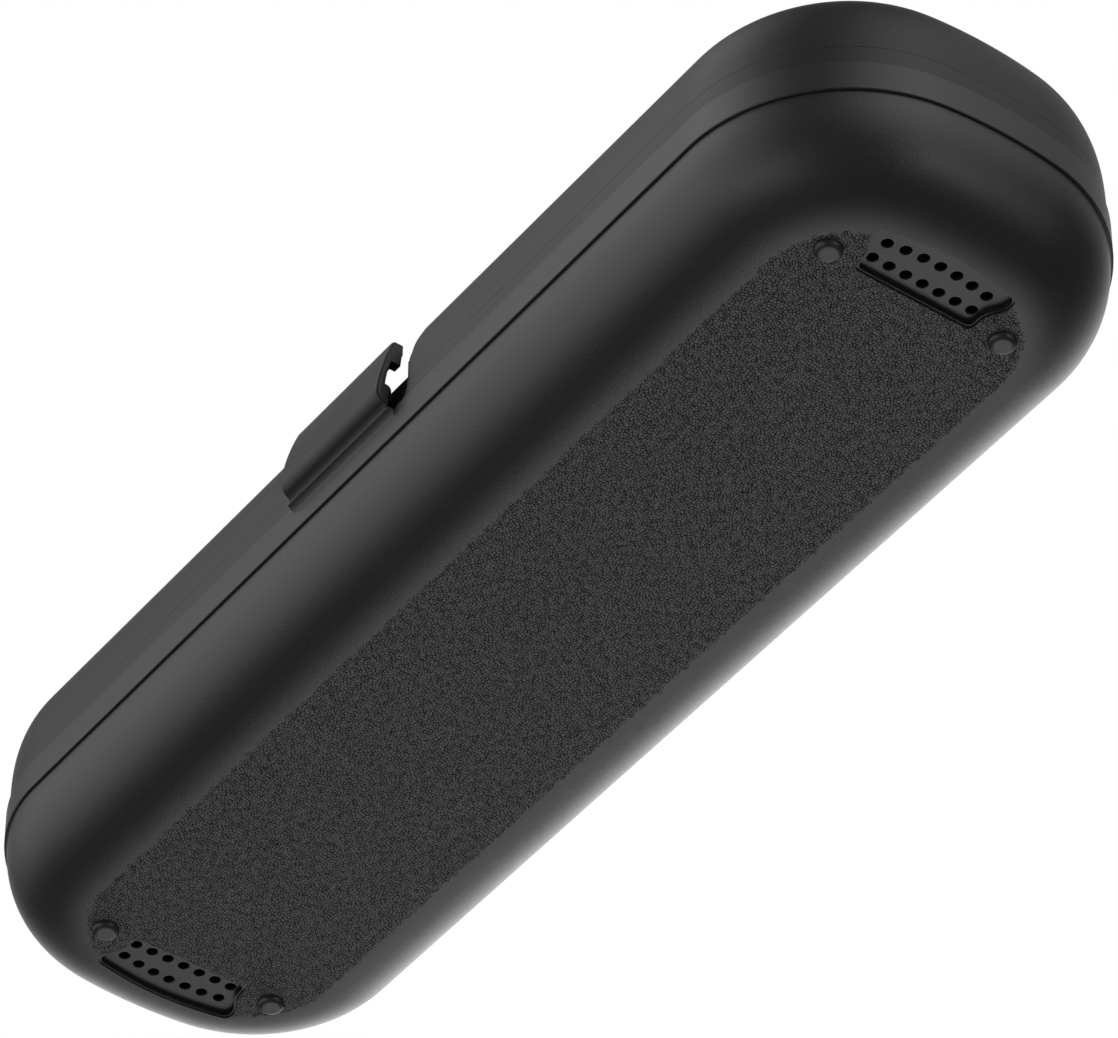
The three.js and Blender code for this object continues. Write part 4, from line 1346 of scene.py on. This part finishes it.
@dataclass(frozen=True)
class Tray:
    """The deck inside the rim, with the handle's trough and the two boxes for brush heads."""

    wall: float = 1.4
    flange: float = 1.0
    flange_width: float = 1.5
    flange_corner: float = 4.0
    flange_edge: float = 0.3
    deck_edge: float = 0.25
    opening_corner: float = 0.4
    opening_past: float = 2.0
    trough_half: float = 14.75
    trough_y: float = 10.75
    trough_z: float = 20.98
    trough_depth: float = 15.38
    trough_reach: float = 94.0
    trough_end: float = 2.4
    hollow_end: float = 2.0
    saddle_rise: float = 1.0
    saddle_width: float = 2.0
    saddle_edge: float = 0.35
    saddle_pitch: float = 68.0
    saddle_top: float = 15.98
    box_near: float = 7.0
    box_length: float = 80.0
    box_width: float = 15.0
    box_y: float = -19.5
    box_floor: float = 9.0
    box_corner: float = 4.0
    box_rise: float = 0.5
    box_end: float = 1.2
    box_hollow_end: float = 1.0
    slot_length: float = 9.0
    slot_width: float = 1.6
    slot_round_share: float = 0.98
    slot_pitch: float = 4.0
    slot_inset: float = 10.0
    slot_past: float = 3.0
    peg_radius: float = 2.1
    peg_length: float = 13.0
    peg_lift: float = 7.5
    peg_end: float = 0.7
    peg_block: float = 4.0
    block_corner: float = 0.5
    block_edge: float = 0.3
    throat_past: float = 2.0
    neck_x: float = 30.0
    neck_width: float = 3.0
    neck_radius: float = 3.2

    @staticmethod
    def rectangle(x0: float, x1: float, y0: float, y1: float, corner: float, steps: int = 8) -> list[Pair]:
        """A rectangle's plan with round corners.

        Args:
            x0: Its low side.
            x1: Its high side.
            y0: Its near side.
            y1: Its far side.
            corner: The corners' radius.
            steps: The number of short lines in each corner.

        Returns:
            The plan's points.
        """
        plan = Path((x0 + corner, y0)).arc((x1 - corner, y0 + corner), corner, -90, 0, steps)
        plan.arc((x1 - corner, y1 - corner), corner, 0, 90, steps)
        plan.arc((x0 + corner, y1 - corner), corner, 90, 180, steps)
        return plan.arc((x0 + corner, y0 + corner), corner, 180, 270, steps).points

    def bowl(self, grow: float, top: float, steps: int = 40) -> list[Pair]:
        """The trough's oval section below a height, from front to back.

        Args:
            grow: How far the section is larger than the trough's inside.
            top: The height where it stops.
            steps: The number of short lines it is made of.

        Returns:
            The open curve's points.
        """
        half, depth = self.trough_half + grow, self.trough_depth + grow
        start = math.pi + math.asin(max(min((self.trough_z - top) / depth, 1), -1))
        end = 3 * math.pi - start
        angles = [start + (end - start) * i / steps for i in range(steps + 1)]
        return [(self.trough_y + half * math.cos(a), self.trough_z + depth * math.sin(a)) for a in angles]

    def air_slots(self, x: float, y: float, low: float) -> Body:
        """Three slots side by side, as a tool.

        Args:
            x: Their middle along the case.
            y: Their middle across it.
            low: The height that they are cut through.

        Returns:
            The tool.
        """
        half, wide = self.slot_length / 2, self.slot_width / 2
        plan = self.rectangle(x - half, x + half, y - wide, y + wide, wide * self.slot_round_share, 6)
        unit = Body.prism("slot", plan, (low - self.slot_past, low + self.slot_past), "Z")
        return in_row(unit, TRAY_PLASTIC, 3, (0, self.slot_pitch, 0))

    def trough(self) -> None:
        """Makes the handle's trough with its flange, saddles and air slots."""
        reach = self.trough_reach + self.wall
        outside = self.bowl(self.wall, LEVELS.deck)
        body = Body.prism("handle_trough", outside, (-reach, reach), "X", self.trough_end, steps=6)
        edge, far = self.trough_half + self.wall + self.flange_width, reach + self.flange_width
        plan = self.rectangle(-far, far, self.trough_y - edge, self.trough_y + edge, self.flange_corner)
        flange_ends = (LEVELS.deck, LEVELS.deck + self.flange)
        body.add(Body.prism("flange", plan, flange_ends, "Z", self.flange_edge))
        y, z = self.trough_y, self.trough_z
        oval = [(y + self.trough_half * math.cos(a), z + self.trough_depth * math.sin(a))
                for a in np.linspace(0, 2 * math.pi, 96, endpoint=False)]
        hollow_ends = (-self.trough_reach, self.trough_reach)
        body.cut(Body.prism("hollow", oval, hollow_ends, "X", self.hollow_end, steps=6))
        outer = self.bowl(self.wall / 2, self.saddle_top)
        inner = self.bowl(-self.saddle_rise, self.saddle_top)
        saddle_ends = (-self.saddle_width / 2, self.saddle_width / 2)
        saddle = Body.prism("saddle", outer + inner[::-1], saddle_ends, "X", self.saddle_edge)
        body.add(in_row(saddle, TRAY_PLASTIC, 3, (self.saddle_pitch, 0, 0)))
        low = self.trough_z - self.trough_depth
        place = self.trough_reach - self.slot_inset
        body.cut(*[self.air_slots(side * place, self.trough_y, low) for side in (1, -1)])
        show(body, TRAY_PLASTIC, "base", ["handle_trough"])

    def box_plan(self, grow: float) -> list[Pair]:
        """The plan of the right-hand box, grown by a margin."""
        half = self.box_width / 2 + grow
        return self.rectangle(self.box_near - grow, self.box_near + self.box_length + grow,
                              self.box_y - half, self.box_y + half, self.box_corner)

    def head_box(self, name: str, mirrored: bool) -> None:
        """Makes one box for a brush head, with its peg, fork, flange and air slots.

        Args:
            name: The CAD node that it stands for.
            mirrored: True for the left-hand box.
        """
        floor, y, start = self.box_floor, self.box_y, self.box_near
        axis = (y, floor + self.peg_lift)
        heights = (floor - self.wall, LEVELS.deck + self.box_rise)
        body = Body.prism(name, self.box_plan(self.wall), heights, "Z", self.box_end, steps=5)
        body.add(Body.prism("flange", self.box_plan(self.wall + self.flange_width),
                            (LEVELS.deck, LEVELS.deck + self.flange), "Z", self.flange_edge))
        heights = (floor, LEVELS.opening + LEVELS.past)
        body.cut(Body.prism("hollow", self.box_plan(0), heights, "Z", self.box_hollow_end, steps=5))
        root, wide = floor - self.wall / 2, self.peg_radius * 2
        block = self.rectangle(y - wide, y + wide, root, axis[1] + self.peg_radius, self.block_corner, 3)
        block_end = start + self.peg_block
        body.add(Body.prism("block", block, (start - self.wall / 2, block_end), "X", self.block_edge))
        peg_ends = (start + self.peg_block / 2, block_end + self.peg_length)
        body.add(Body.rod("peg", self.peg_radius, peg_ends, axis, self.peg_end))
        wide = self.neck_radius * 2
        fork = self.rectangle(y - wide, y + wide, root, axis[1], self.block_corner, 3)
        ends = (start + self.neck_x, start + self.neck_x + self.neck_width)
        throat_ends = (ends[0] - self.throat_past, ends[1] + self.throat_past)
        throat = Body.rod("throat", self.neck_radius, throat_ends, axis)
        body.add(Body.prism("fork", fork, ends, "X", self.block_edge).cut(throat))
        body.cut(self.air_slots(start + self.box_length - self.slot_inset, y, root))
        if mirrored:
            body.mirrored()
        show(body, TRAY_PLASTIC, "base", [name])

    def deck(self) -> None:
        """Makes the deck plate with its three openings."""
        low, high, edge = LEVELS.deck - self.wall, LEVELS.deck, self.deck_edge
        inset = BaseRim.wall + LEVELS.fit
        levels = [(inset + edge, low), (inset, low + edge), (inset, high - edge), (inset + edge, high)]
        plate = Body.loft("tray_deck", OUTLINE.rings(levels))
        grow = self.wall + LEVELS.fit
        half, reach = self.trough_half + grow, self.trough_reach + grow
        ends = (low - self.opening_past, high + self.opening_past)
        opening = self.rectangle(-reach, reach, self.trough_y - half, self.trough_y + half,
                                 self.opening_corner, 3)
        box = Body.prism("box_opening", self.box_plan(grow), ends, "Z")
        plate.cut(Body.prism("trough_opening", opening, ends, "Z"), box.copy("left").mirrored(), box)
        show(plate, TRAY_PLASTIC, "base", ["tray_deck"])

    def build(self) -> None:
        """Makes the deck, the trough and both boxes."""
        self.deck()
        self.trough()
        self.head_box("head_box_right", False)
        self.head_box("head_box_left", True)


@dataclass(frozen=True)
class Lid:
    """The frame above the opening line and the dome over it, with the latch's recess and thumb scoop."""

    roll_width: float = 14.07
    roll_power: float = 2.689
    roll_steps: int = 28
    end_share: float = 0.145
    rim_wall: float = BaseRim.wall
    open_edge: float = 0.07
    seam_edge: float = 0.06
    seam_ease_in: float = 0.015
    seam_ease_up: float = 0.02
    inner_round: float = 0.3
    tongue_depth: float = 1.7
    tongue_wall: float = 1.5
    spigot_height: float = 4.0
    recess_depth: float = BaseRim.recess_depth
    recess_half: float = 16.9
    recess_foot: float = 14.4
    recess_shoulder: float = 5.0
    recess_blend: float = 3.9
    scoop_floor: float = 7.82
    scoop_radius: float = 19.1
    scoop_centre: float = 10.1
    scoop_round: float = 2.3
    scoop_sides: int = 224
    catch_half: float = 5.5
    catch_face: float = 1.55
    catch_depth: float = 2.1
    catch_rise: float = 3.0
    catch_corner: float = 0.3
    catch_edge: float = 0.25
    crease: float = 35.0
    fine: int = 14

    @property
    def scoop_z(self) -> float:
        """The height of the scoop's floor."""
        return LEVELS.opening + self.scoop_floor

    def dome_height(self, inset: float) -> float:
        """The height of the lid's outer face at an inset from the front.

        Args:
            inset: How far in from the front.

        Returns:
            The height.
        """
        share = min(max(1 - inset / self.roll_width, 0), 1)
        rise_share = (1 - share ** self.roll_power) ** (1 / self.roll_power)
        return LEVELS.lid + (LEVELS.top - LEVELS.lid) * rise_share

    def recess(self, grow: float) -> Body:
        """The latch's recess as a tool: its ends run out softly and its foot is rounded.

        Args:
            grow: How far its faces move out, for the wall behind it.

        Returns:
            The tool.
        """
        low, high = LEVELS.opening - LEVELS.past, self.scoop_z + LEVELS.fit / 2
        shoulder = LEVELS.opening + self.recess_shoulder

        def ring(y: float, half: float, foot: float) -> np.ndarray:
            """One upright ring of the tool.

            Args:
                y: Its depth.
                half: Its half width above the shoulder.
                foot: Its half width at the foot.

            Returns:
                The ring's points, one row each.
            """
            edge = Path((foot, low)).line((foot, LEVELS.opening))
            edge.curve((half, (LEVELS.opening * 2 + shoulder) / 3), (half, shoulder), 12).line((half, high))
            points = edge.points + [(-x, z) for x, z in reversed(edge.points)]
            return np.array([(x, y, z) for x, z in points])

        rings = [ring(FRONT - LEVELS.past, self.recess_half + grow, self.recess_foot + grow)]
        for i in range(self.fine + 1):
            t = i / self.fine
            run = self.recess_blend * (2 * t * (1 - t) ** 2 + t * t * (1 - t) + t ** 3)
            deep = self.recess_depth * (3 * t * t * (1 - t) + t ** 3)
            half, foot = self.recess_half - run + grow, self.recess_foot - run + grow
            rings.append(ring(FRONT + deep + grow, half, foot))
        return Body.loft("recess", rings)

    def scoop(self, grow: float) -> Body:
        """The thumb scoop as a tool: an upright round cut, rounded over along the lid's own curve.

        Args:
            grow: How far its faces move out, for the wall round it.

        Returns:
            The tool.
        """
        low, radius, centre = self.scoop_z - grow, self.scoop_radius + grow, FRONT - self.scoop_centre
        columns = []
        for i in range(self.scoop_sides):
            angle = i / self.scoop_sides * 2 * math.pi
            across, along = math.cos(angle), math.sin(angle)
            inset = centre + radius * along - FRONT
            far = centre + (radius + self.scoop_round) * along - FRONT
            start = max(self.dome_height(inset) - self.scoop_round, low + LEVELS.fit)
            bend = max(self.dome_height(inset), start + LEVELS.fit)
            end = max(self.dome_height(far), bend + LEVELS.slim)
            edge = Path((0.0, start)).curve((0.0, bend), (self.scoop_round, end), self.fine).points
            points = [(0.0, low), *edge, (self.scoop_round, LEVELS.top + LEVELS.past)]
            reaches = [(radius + out, z) for out, z in points]
            columns.append([(reach * across, centre + reach * along, z) for reach, z in reaches])
        return Body.loft("scoop", [np.array(row) for row in zip(*columns)])

    def frame(self, hinge: Hinge) -> None:
        """Makes the plain band with its tongue, spigot and knuckles.

        Args:
            hinge: The rear hinges' sizes.
        """
        low, high = LEVELS.opening, LEVELS.lid
        tongue, inner = self.rim_wall + LEVELS.fit, self.rim_wall + LEVELS.fit + self.tongue_wall
        spigot = LEVELS.wall + LEVELS.fit + LEVELS.slim
        spigot_high, tongue_low, bend = high + self.spigot_height, low - self.tongue_depth, self.inner_round
        profile = rounded([
            (0.0, low, self.open_edge), (0.0, high, self.seam_edge), (spigot, high, 0.0),
            (spigot, spigot_high, bend), (inner, spigot_high, bend), (inner, tongue_low, bend),
            (tongue, tongue_low, bend), (tongue, low, 0.0)])
        ring = Body.hoop("lid_frame", OUTLINE, profile)
        room = self.recess_half + LEVELS.wall + LEVELS.fit
        depth = FRONT + self.recess_depth + LEVELS.wall + LEVELS.fit
        outside = FRONT - LEVELS.past
        face = [(outside, high), (depth, high), (depth, LEVELS.top), (outside, LEVELS.top)]
        near = hinge.lid_knuckle / 2 + LEVELS.fit
        far = near + hinge.body_knuckle
        pits = [hinge.relief(x, a, b) for x in HINGE_PLACES for a, b in ((near, far), (-far, -near))]
        ring.cut(self.recess(0), Body.prism("recess_room", face, (-room, room)),
                 self.scoop(LEVELS.wall + LEVELS.fit), *pits)
        ring.add(hinge.lid_knuckles()).cut(hinge.bore())
        show(ring, LID_PLASTIC, "lid", ["lid_frame"])

    def dome_rings(self, start: float, gap: float) -> list[np.ndarray]:
        """The dome's rings from its edge to its flat top.

        Args:
            start: The inset at its edge.
            gap: How much lower and narrower it is than the outer face.

        Returns:
            The rings.
        """
        height = LEVELS.top - LEVELS.lid - gap
        curve = roll_curve(self.roll_width - gap / 2, height, self.roll_power, self.roll_steps)
        return OUTLINE.rings([(start + inset, LEVELS.lid + rise) for inset, rise in curve], self.end_share)

    def flat(self, inset: float, z: float) -> list[np.ndarray]:
        """Two rings that keep the flat top flat beside the roll."""
        return OUTLINE.rings([(inset + LEVELS.flat_near, z), (inset + LEVELS.flat_far, z)], self.end_share)

    def shell(self) -> None:
        """Makes the dome, with the recess and scoop walled off from the inside, and the catch."""
        wall, low = LEVELS.wall, LEVELS.lid
        outer = self.dome_rings(0, 0)
        solid = Body.loft("lid_shell", [
            OUTLINE.ring(self.seam_edge, low), OUTLINE.ring(self.seam_ease_in, low + self.seam_ease_up),
            OUTLINE.ring(0, low + self.seam_edge), *outer[1:], *self.flat(self.roll_width, LEVELS.top)])
        space = Body.loft("cavity", [
            OUTLINE.ring(wall, low - LEVELS.past), *self.dome_rings(wall, wall),
            *self.flat(wall + self.roll_width - wall / 2, LEVELS.top - wall)])
        space.cut(self.recess(wall), self.scoop(wall))
        solid.cut(space, self.recess(0), self.scoop(0))
        front, z = FRONT + self.catch_face, self.scoop_z
        post = Tray.rectangle(front, front + self.catch_depth, z - wall, z + self.catch_rise,
                              self.catch_corner, 4)
        solid.add(Body.prism("catch", post, (-self.catch_half, self.catch_half), "X", self.catch_edge))
        show(solid, LID_PLASTIC, "lid", ["lid_shell"], crease=self.crease)

    def build(self, hinge: Hinge) -> None:
        """Makes the frame and the dome."""
        self.frame(hinge)
        self.shell()


@dataclass(frozen=True)
class Latch:
    """The clip: a bowed strap with a hooked top and a cheek at each end, on a pin through the rim's ears."""

    length: float = 26.0
    top: float = 19.55
    top_round: float = 0.03
    foot: float = BaseRim.latch_foot
    proud: float = 3.5
    crest: float = 8.3
    strap: float = 1.3
    hook_reach: float = 1.17
    hook_wall: float = 2.1
    cheek_wall: float = 1.65
    cheek_drop: float = 4.55
    heel_out: float = 1.45
    roll_out: float = 2.39
    roll_up: float = 6.08
    roll_ease: float = 0.55
    roll_swell: float = 0.77
    boss_radius: float = BaseRim.boss_radius
    rim_proud: float = BaseRim.proud
    pin_radius: float = 0.5
    pin_edge: float = 0.12
    ear_x: float = BaseRim.ear_x
    ear_width: float = BaseRim.ear_width
    ear_lean: float = 0.67
    end_edge: float = 0.15
    end_crown: float = 0.7
    end_steps: int = 6

    @staticmethod
    def at(out: float, up: float) -> Pair:
        """A point counted outward from the front and up from the seam."""
        return FRONT - out, LEVELS.seam + up

    @property
    def top_out(self) -> float:
        """How far out the strap's outer face is at its top."""
        span = self.top - self.crest
        return self.proud - span * (self.proud - self.rim_proud) / (span + self.strap)

    def strap_section(self) -> list[Pair]:
        """The strap's section from its heel over the crest to the hook, and back down inside.

        Returns:
            The section's points.
        """
        at, fit, slim, strap = self.at, LEVELS.fit, LEVELS.slim, self.strap
        block_in = PIVOT_OUT - self.boss_radius + slim
        block_top = PIVOT_UP + self.boss_radius * 2 + slim
        span = self.top - self.crest
        section = Path(at(self.heel_out, self.foot))
        section.curve(at(self.heel_out + slim, self.roll_up - self.roll_ease),
                      at(self.roll_out, self.roll_up), 12)
        section.curve(at(self.proud, self.roll_up + self.roll_swell), at(self.proud, self.crest), 16)
        section.curve(at(self.proud - strap / 2, self.crest + span / 2), at(self.top_out, self.top - fit), 24)
        section.curve(at(self.top_out - self.top_round, self.top), at(self.top_out - fit, self.top), 5)
        section.line(at(fit - self.hook_reach, self.top))
        section.curve(at(-self.hook_reach, self.top), at(-self.hook_reach, self.top - fit), 5)
        section.line(at(-self.hook_reach, self.top - self.hook_wall))
        section.line(at(self.top_out - strap + self.hook_wall / 4, self.top - self.hook_wall))
        section.curve(at(self.proud - strap * 3 / 2, self.crest + span / 2),
                      at(self.proud - strap - fit, block_top), 20)
        section.curve(at(block_in, block_top), at(block_in, block_top - strap), 10)
        section.line(at(block_in, PIVOT_UP - self.boss_radius))
        return section.points

    def strap_body(self) -> Body:
        """The strap, with its front edges rounded over at both ends.

        Returns:
            The strap.
        """
        base = np.array(anticlockwise(self.strap_section()))
        facing = np.clip((base - offset(base, 1.0))[:, 0], 0, 1)[:, None]
        half, turns = self.length / 2, quarter_turn(self.end_steps)
        rings = []
        for side in (-1, 1):
            for angle in turns if side < 0 else reversed(turns):
                inset = (self.end_edge + (self.end_crown - self.end_edge) * facing) * (1 - math.sin(angle))
                plan = offset(base, -inset)
                depth = self.end_crown * (1 - math.cos(angle))
                rings.append(np.column_stack([np.full(len(plan), side * (half - depth)), plan]))
        return Body.loft("latch_clip", rings)

    def cheek_section(self) -> list[Pair]:
        """The section of the cheek that closes the strap's end at the top."""
        low, high = self.top - self.cheek_drop, self.top - LEVELS.fit
        return [self.at(self.strap * 5 / 4, low), self.at(self.rim_proud, high),
                self.at(-self.hook_reach, high), self.at(-self.hook_reach + self.rim_proud, low)]

    def ear_slot(self, side: int) -> list[Body]:
        """The room for one ear.

        Args:
            side: 1 for the right-hand ear, -1 for the left-hand one.

        Returns:
            The two tools that clear it.
        """
        y, z = LATCH_AXIS
        middle, half = side * self.ear_x, self.ear_width / 2
        ends = (middle - half - LEVELS.fit, middle + half + LEVELS.fit)
        radius = self.boss_radius + LEVELS.fit * 2 / 3
        foot, high, far = z - (PIVOT_UP - self.foot), z + LEVELS.past, y + LEVELS.past
        section = [(y, z - radius), (y + self.ear_lean, foot), (far, foot), (far, high), (y, high)]
        return [Body.prism("slot", section, ends), Body.rod("slot_round", radius, ends, LATCH_AXIS)]

    def build(self) -> None:
        """Makes the clip and its pin."""
        half = self.length / 2
        clip = self.strap_body()
        inner = half - self.cheek_wall
        clip.add(*[Body.prism("cheek", self.cheek_section(), (side * half, side * inner), "X", self.end_edge)
                   for side in (1, -1)])
        end = self.ear_x + self.ear_width
        bore_ends = (LATCH_BORE_START, end + LEVELS.fit)
        bore = Body.rod("bore", self.pin_radius + LEVELS.slim, bore_ends, LATCH_AXIS, sides=24)
        clip.cut(bore, *self.ear_slot(1), *self.ear_slot(-1))
        show(clip, LATCH_PLASTIC, "latch", ["latch_clip"])
        pin = Body.rod("latch_pin", self.pin_radius, (LEVELS.fit - half, end), LATCH_AXIS, self.pin_edge,
                       sides=32)
        show(pin, PIN_STEEL, "base", ["latch_pin"])


# The studio


@dataclass(frozen=True)
class Softbox:
    """A soft square lamp that faces the case."""

    name: str
    place: Triple
    size: float
    watts: float

    def build(self, target: Vector) -> None:
        """Places the lamp and turns it to the target.

        Args:
            target: The point that it faces.
        """
        lamp = bpy.data.lights.new(self.name, "AREA")
        lamp.shape = "SQUARE"
        lamp.size = self.size
        lamp.energy = self.watts
        obj = bpy.data.objects.new(self.name, lamp)
        obj.location = self.place
        obj.rotation_euler = (target - Vector(self.place)).to_track_quat("-Z", "Y").to_euler()
        bpy.context.scene.collection.objects.link(obj)


@dataclass(frozen=True)
class Glow:
    """A soft bright part of the surround, with its place and reach in degrees."""

    azimuth: float
    elevation: float
    inner: float
    outer: float
    strength: float

    def level(self, graph: Graph, direction: bpy.types.NodeSocket) -> bpy.types.NodeSocket:
        """Adds its brightness in a direction.

        Args:
            graph: The world's nodes.
            direction: The direction that a ray leaves in.

        Returns:
            The brightness.
        """
        turn, rise = math.radians(self.azimuth), math.radians(self.elevation)
        towards = (math.cos(rise) * math.cos(turn), math.cos(rise) * math.sin(turn), math.sin(rise))
        facing = graph.add("ShaderNodeVectorMath", {0: direction, 1: towards}, operation="DOT_PRODUCT")
        return graph.ramp(facing.outputs["Value"], math.cos(math.radians(self.outer)),
                          math.cos(math.radians(self.inner)), 0.0, self.strength)


@dataclass(frozen=True)
class Studio:
    """The camera, the surround with its soft glows, the lamps and the floor, placed in metres."""

    camera_place: Triple = (0.6081, -0.4377, -0.6737)
    right: Triple = (0.5887, 0.8083, 0.0003)
    up: Triple = (0.5524, -0.4026, 0.7299)
    back: Triple = (0.5901, -0.4295, -0.6836)
    lens: float = 215.3
    sensor: float = 36.0
    near: float = 0.01
    far: float = 50.0
    fill: float = 0.5
    shade: float = 0.055
    glows: tuple[Glow, ...] = (
        Glow(-120, 15, 12, 52, 1.43), Glow(135, 15, 8, 38, 2.13), Glow(135, 30, 12, 52, 0.53),
        Glow(0, 30, 8, 38, 1.65), Glow(15, -15, 2, 18, 3.35), Glow(-90, -30, 4, 26, 1.74),
        Glow(135, -60, 2, 18, 1.22), Glow(15, 60, 4, 26, 0.43), Glow(140, -45, 4, 26, 1.1))
    floor_size: float = 3.0
    floor_tone: float = 0.86
    target: Triple = (0.0, 0.0, 0.02)
    lamps: tuple[Softbox, ...] = (
        Softbox("softbox_above", (-0.5, -0.8, 1.6), 1.0, 4.0),
        Softbox("softbox_behind", (0.6, 1.0, 1.3), 1.2, 1.5),
        Softbox("softbox_below", (-0.95, 0.95, -1.4), 1.0, 2.4))

    def camera(self) -> None:
        """Makes the camera at the photograph's viewing angle."""
        data = bpy.data.cameras.new("camera")
        data.sensor_fit = "HORIZONTAL"
        data.sensor_width = self.sensor
        data.lens = self.lens
        data.clip_start, data.clip_end = self.near, self.far
        obj = bpy.data.objects.new("camera", data)
        columns = zip(self.right, self.up, self.back)
        turn = Matrix([tuple(row) for row in columns]).to_quaternion()
        obj.rotation_mode = "QUATERNION"
        obj.rotation_quaternion = turn
        obj.location = self.camera_place
        bpy.context.scene.collection.objects.link(obj)
        bpy.context.scene.camera = obj

    def surround(self) -> None:
        """Makes the world: white to the camera, soft glows in reflections, and an even fill."""
        world = bpy.data.worlds.new("surround")
        world.use_nodes = True
        tree = world.node_tree
        tree.nodes.clear()
        graph = Graph(tree)
        direction = graph.add("ShaderNodeTexCoord").outputs["Generated"]
        lit = self.shade
        for glow in self.glows:
            lit = graph.math("ADD", glow.level(graph, direction), lit)
        rays = graph.add("ShaderNodeLightPath")
        seen = graph.math("MAXIMUM", rays.outputs["Is Camera Ray"], rays.outputs["Is Transmission Ray"])
        wanting = graph.math("SUBTRACT", self.fill, lit)
        evened = graph.math("MULTIPLY", rays.outputs["Is Diffuse Ray"], wanting)
        level = graph.math("ADD", evened, lit)
        white = graph.math("SUBTRACT", 1.0, level)
        strength = graph.math("MULTIPLY_ADD", seen, white, level)
        shade = graph.add("ShaderNodeBackground", {"Color": (1, 1, 1, 1), "Strength": strength})
        output = graph.add("ShaderNodeOutputWorld")
        tree.links.new(shade.outputs["Background"], output.inputs["Surface"])
        bpy.context.scene.world = world

    def floor(self) -> None:
        """Makes the pale floor, which is seen from above only and keeps the case's shadow."""
        half = self.floor_size / 2 / MM
        corners = np.array([(-half, -half, 0), (half, -half, 0), (half, half, 0), (-half, half, 0)])
        body = Body("floor", corners, [(0, 1, 2, 3)])
        mesh = body.obj.data
        mesh.transform(Matrix.Scale(MM, 4))
        if mesh.polygons[0].normal.z < 0:
            mesh.flip_normals()
        paint = bpy.data.materials.new("pale_floor")
        paint.use_nodes = True
        tree = paint.node_tree
        tree.nodes.clear()
        graph = Graph(tree)
        rays = graph.add("ShaderNodeLightPath")
        back = graph.add("ShaderNodeNewGeometry").outputs["Backfacing"]
        seen = graph.math("MULTIPLY", rays.outputs["Is Camera Ray"], graph.math("SUBTRACT", 1.0, back))
        clear = graph.add("ShaderNodeBsdfTransparent")
        tone = self.floor_tone
        pale = graph.add("ShaderNodeBsdfDiffuse", {"Color": (tone, tone, tone, 1)})
        mix = graph.add("ShaderNodeMixShader", {0: seen, 1: clear.outputs[0], 2: pale.outputs[0]})
        output = graph.add("ShaderNodeOutputMaterial")
        tree.links.new(mix.outputs[0], output.inputs["Surface"])
        mesh.materials.append(paint)

    def build(self) -> None:
        """Makes the whole studio."""
        bpy.context.scene.view_settings.view_transform = "Standard"
        self.camera()
        self.surround()
        self.floor()
        for lamp in self.lamps:
            lamp.build(Vector(self.target))


def main() -> None:
    """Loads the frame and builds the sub-assemblies in order."""
    logging.basicConfig(level=logging.INFO, format="%(message)s")
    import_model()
    Studio().build()
    hinge = Hinge()
    BottomShell().build()
    for name, place in FOOT_PLACES.items():
        Foot().build(name, place)
    BaseRim().build(hinge)
    Tray().build()
    Lid().build(hinge)
    hinge.build()
    Latch().build()


if __name__ == "__main__":
    main()
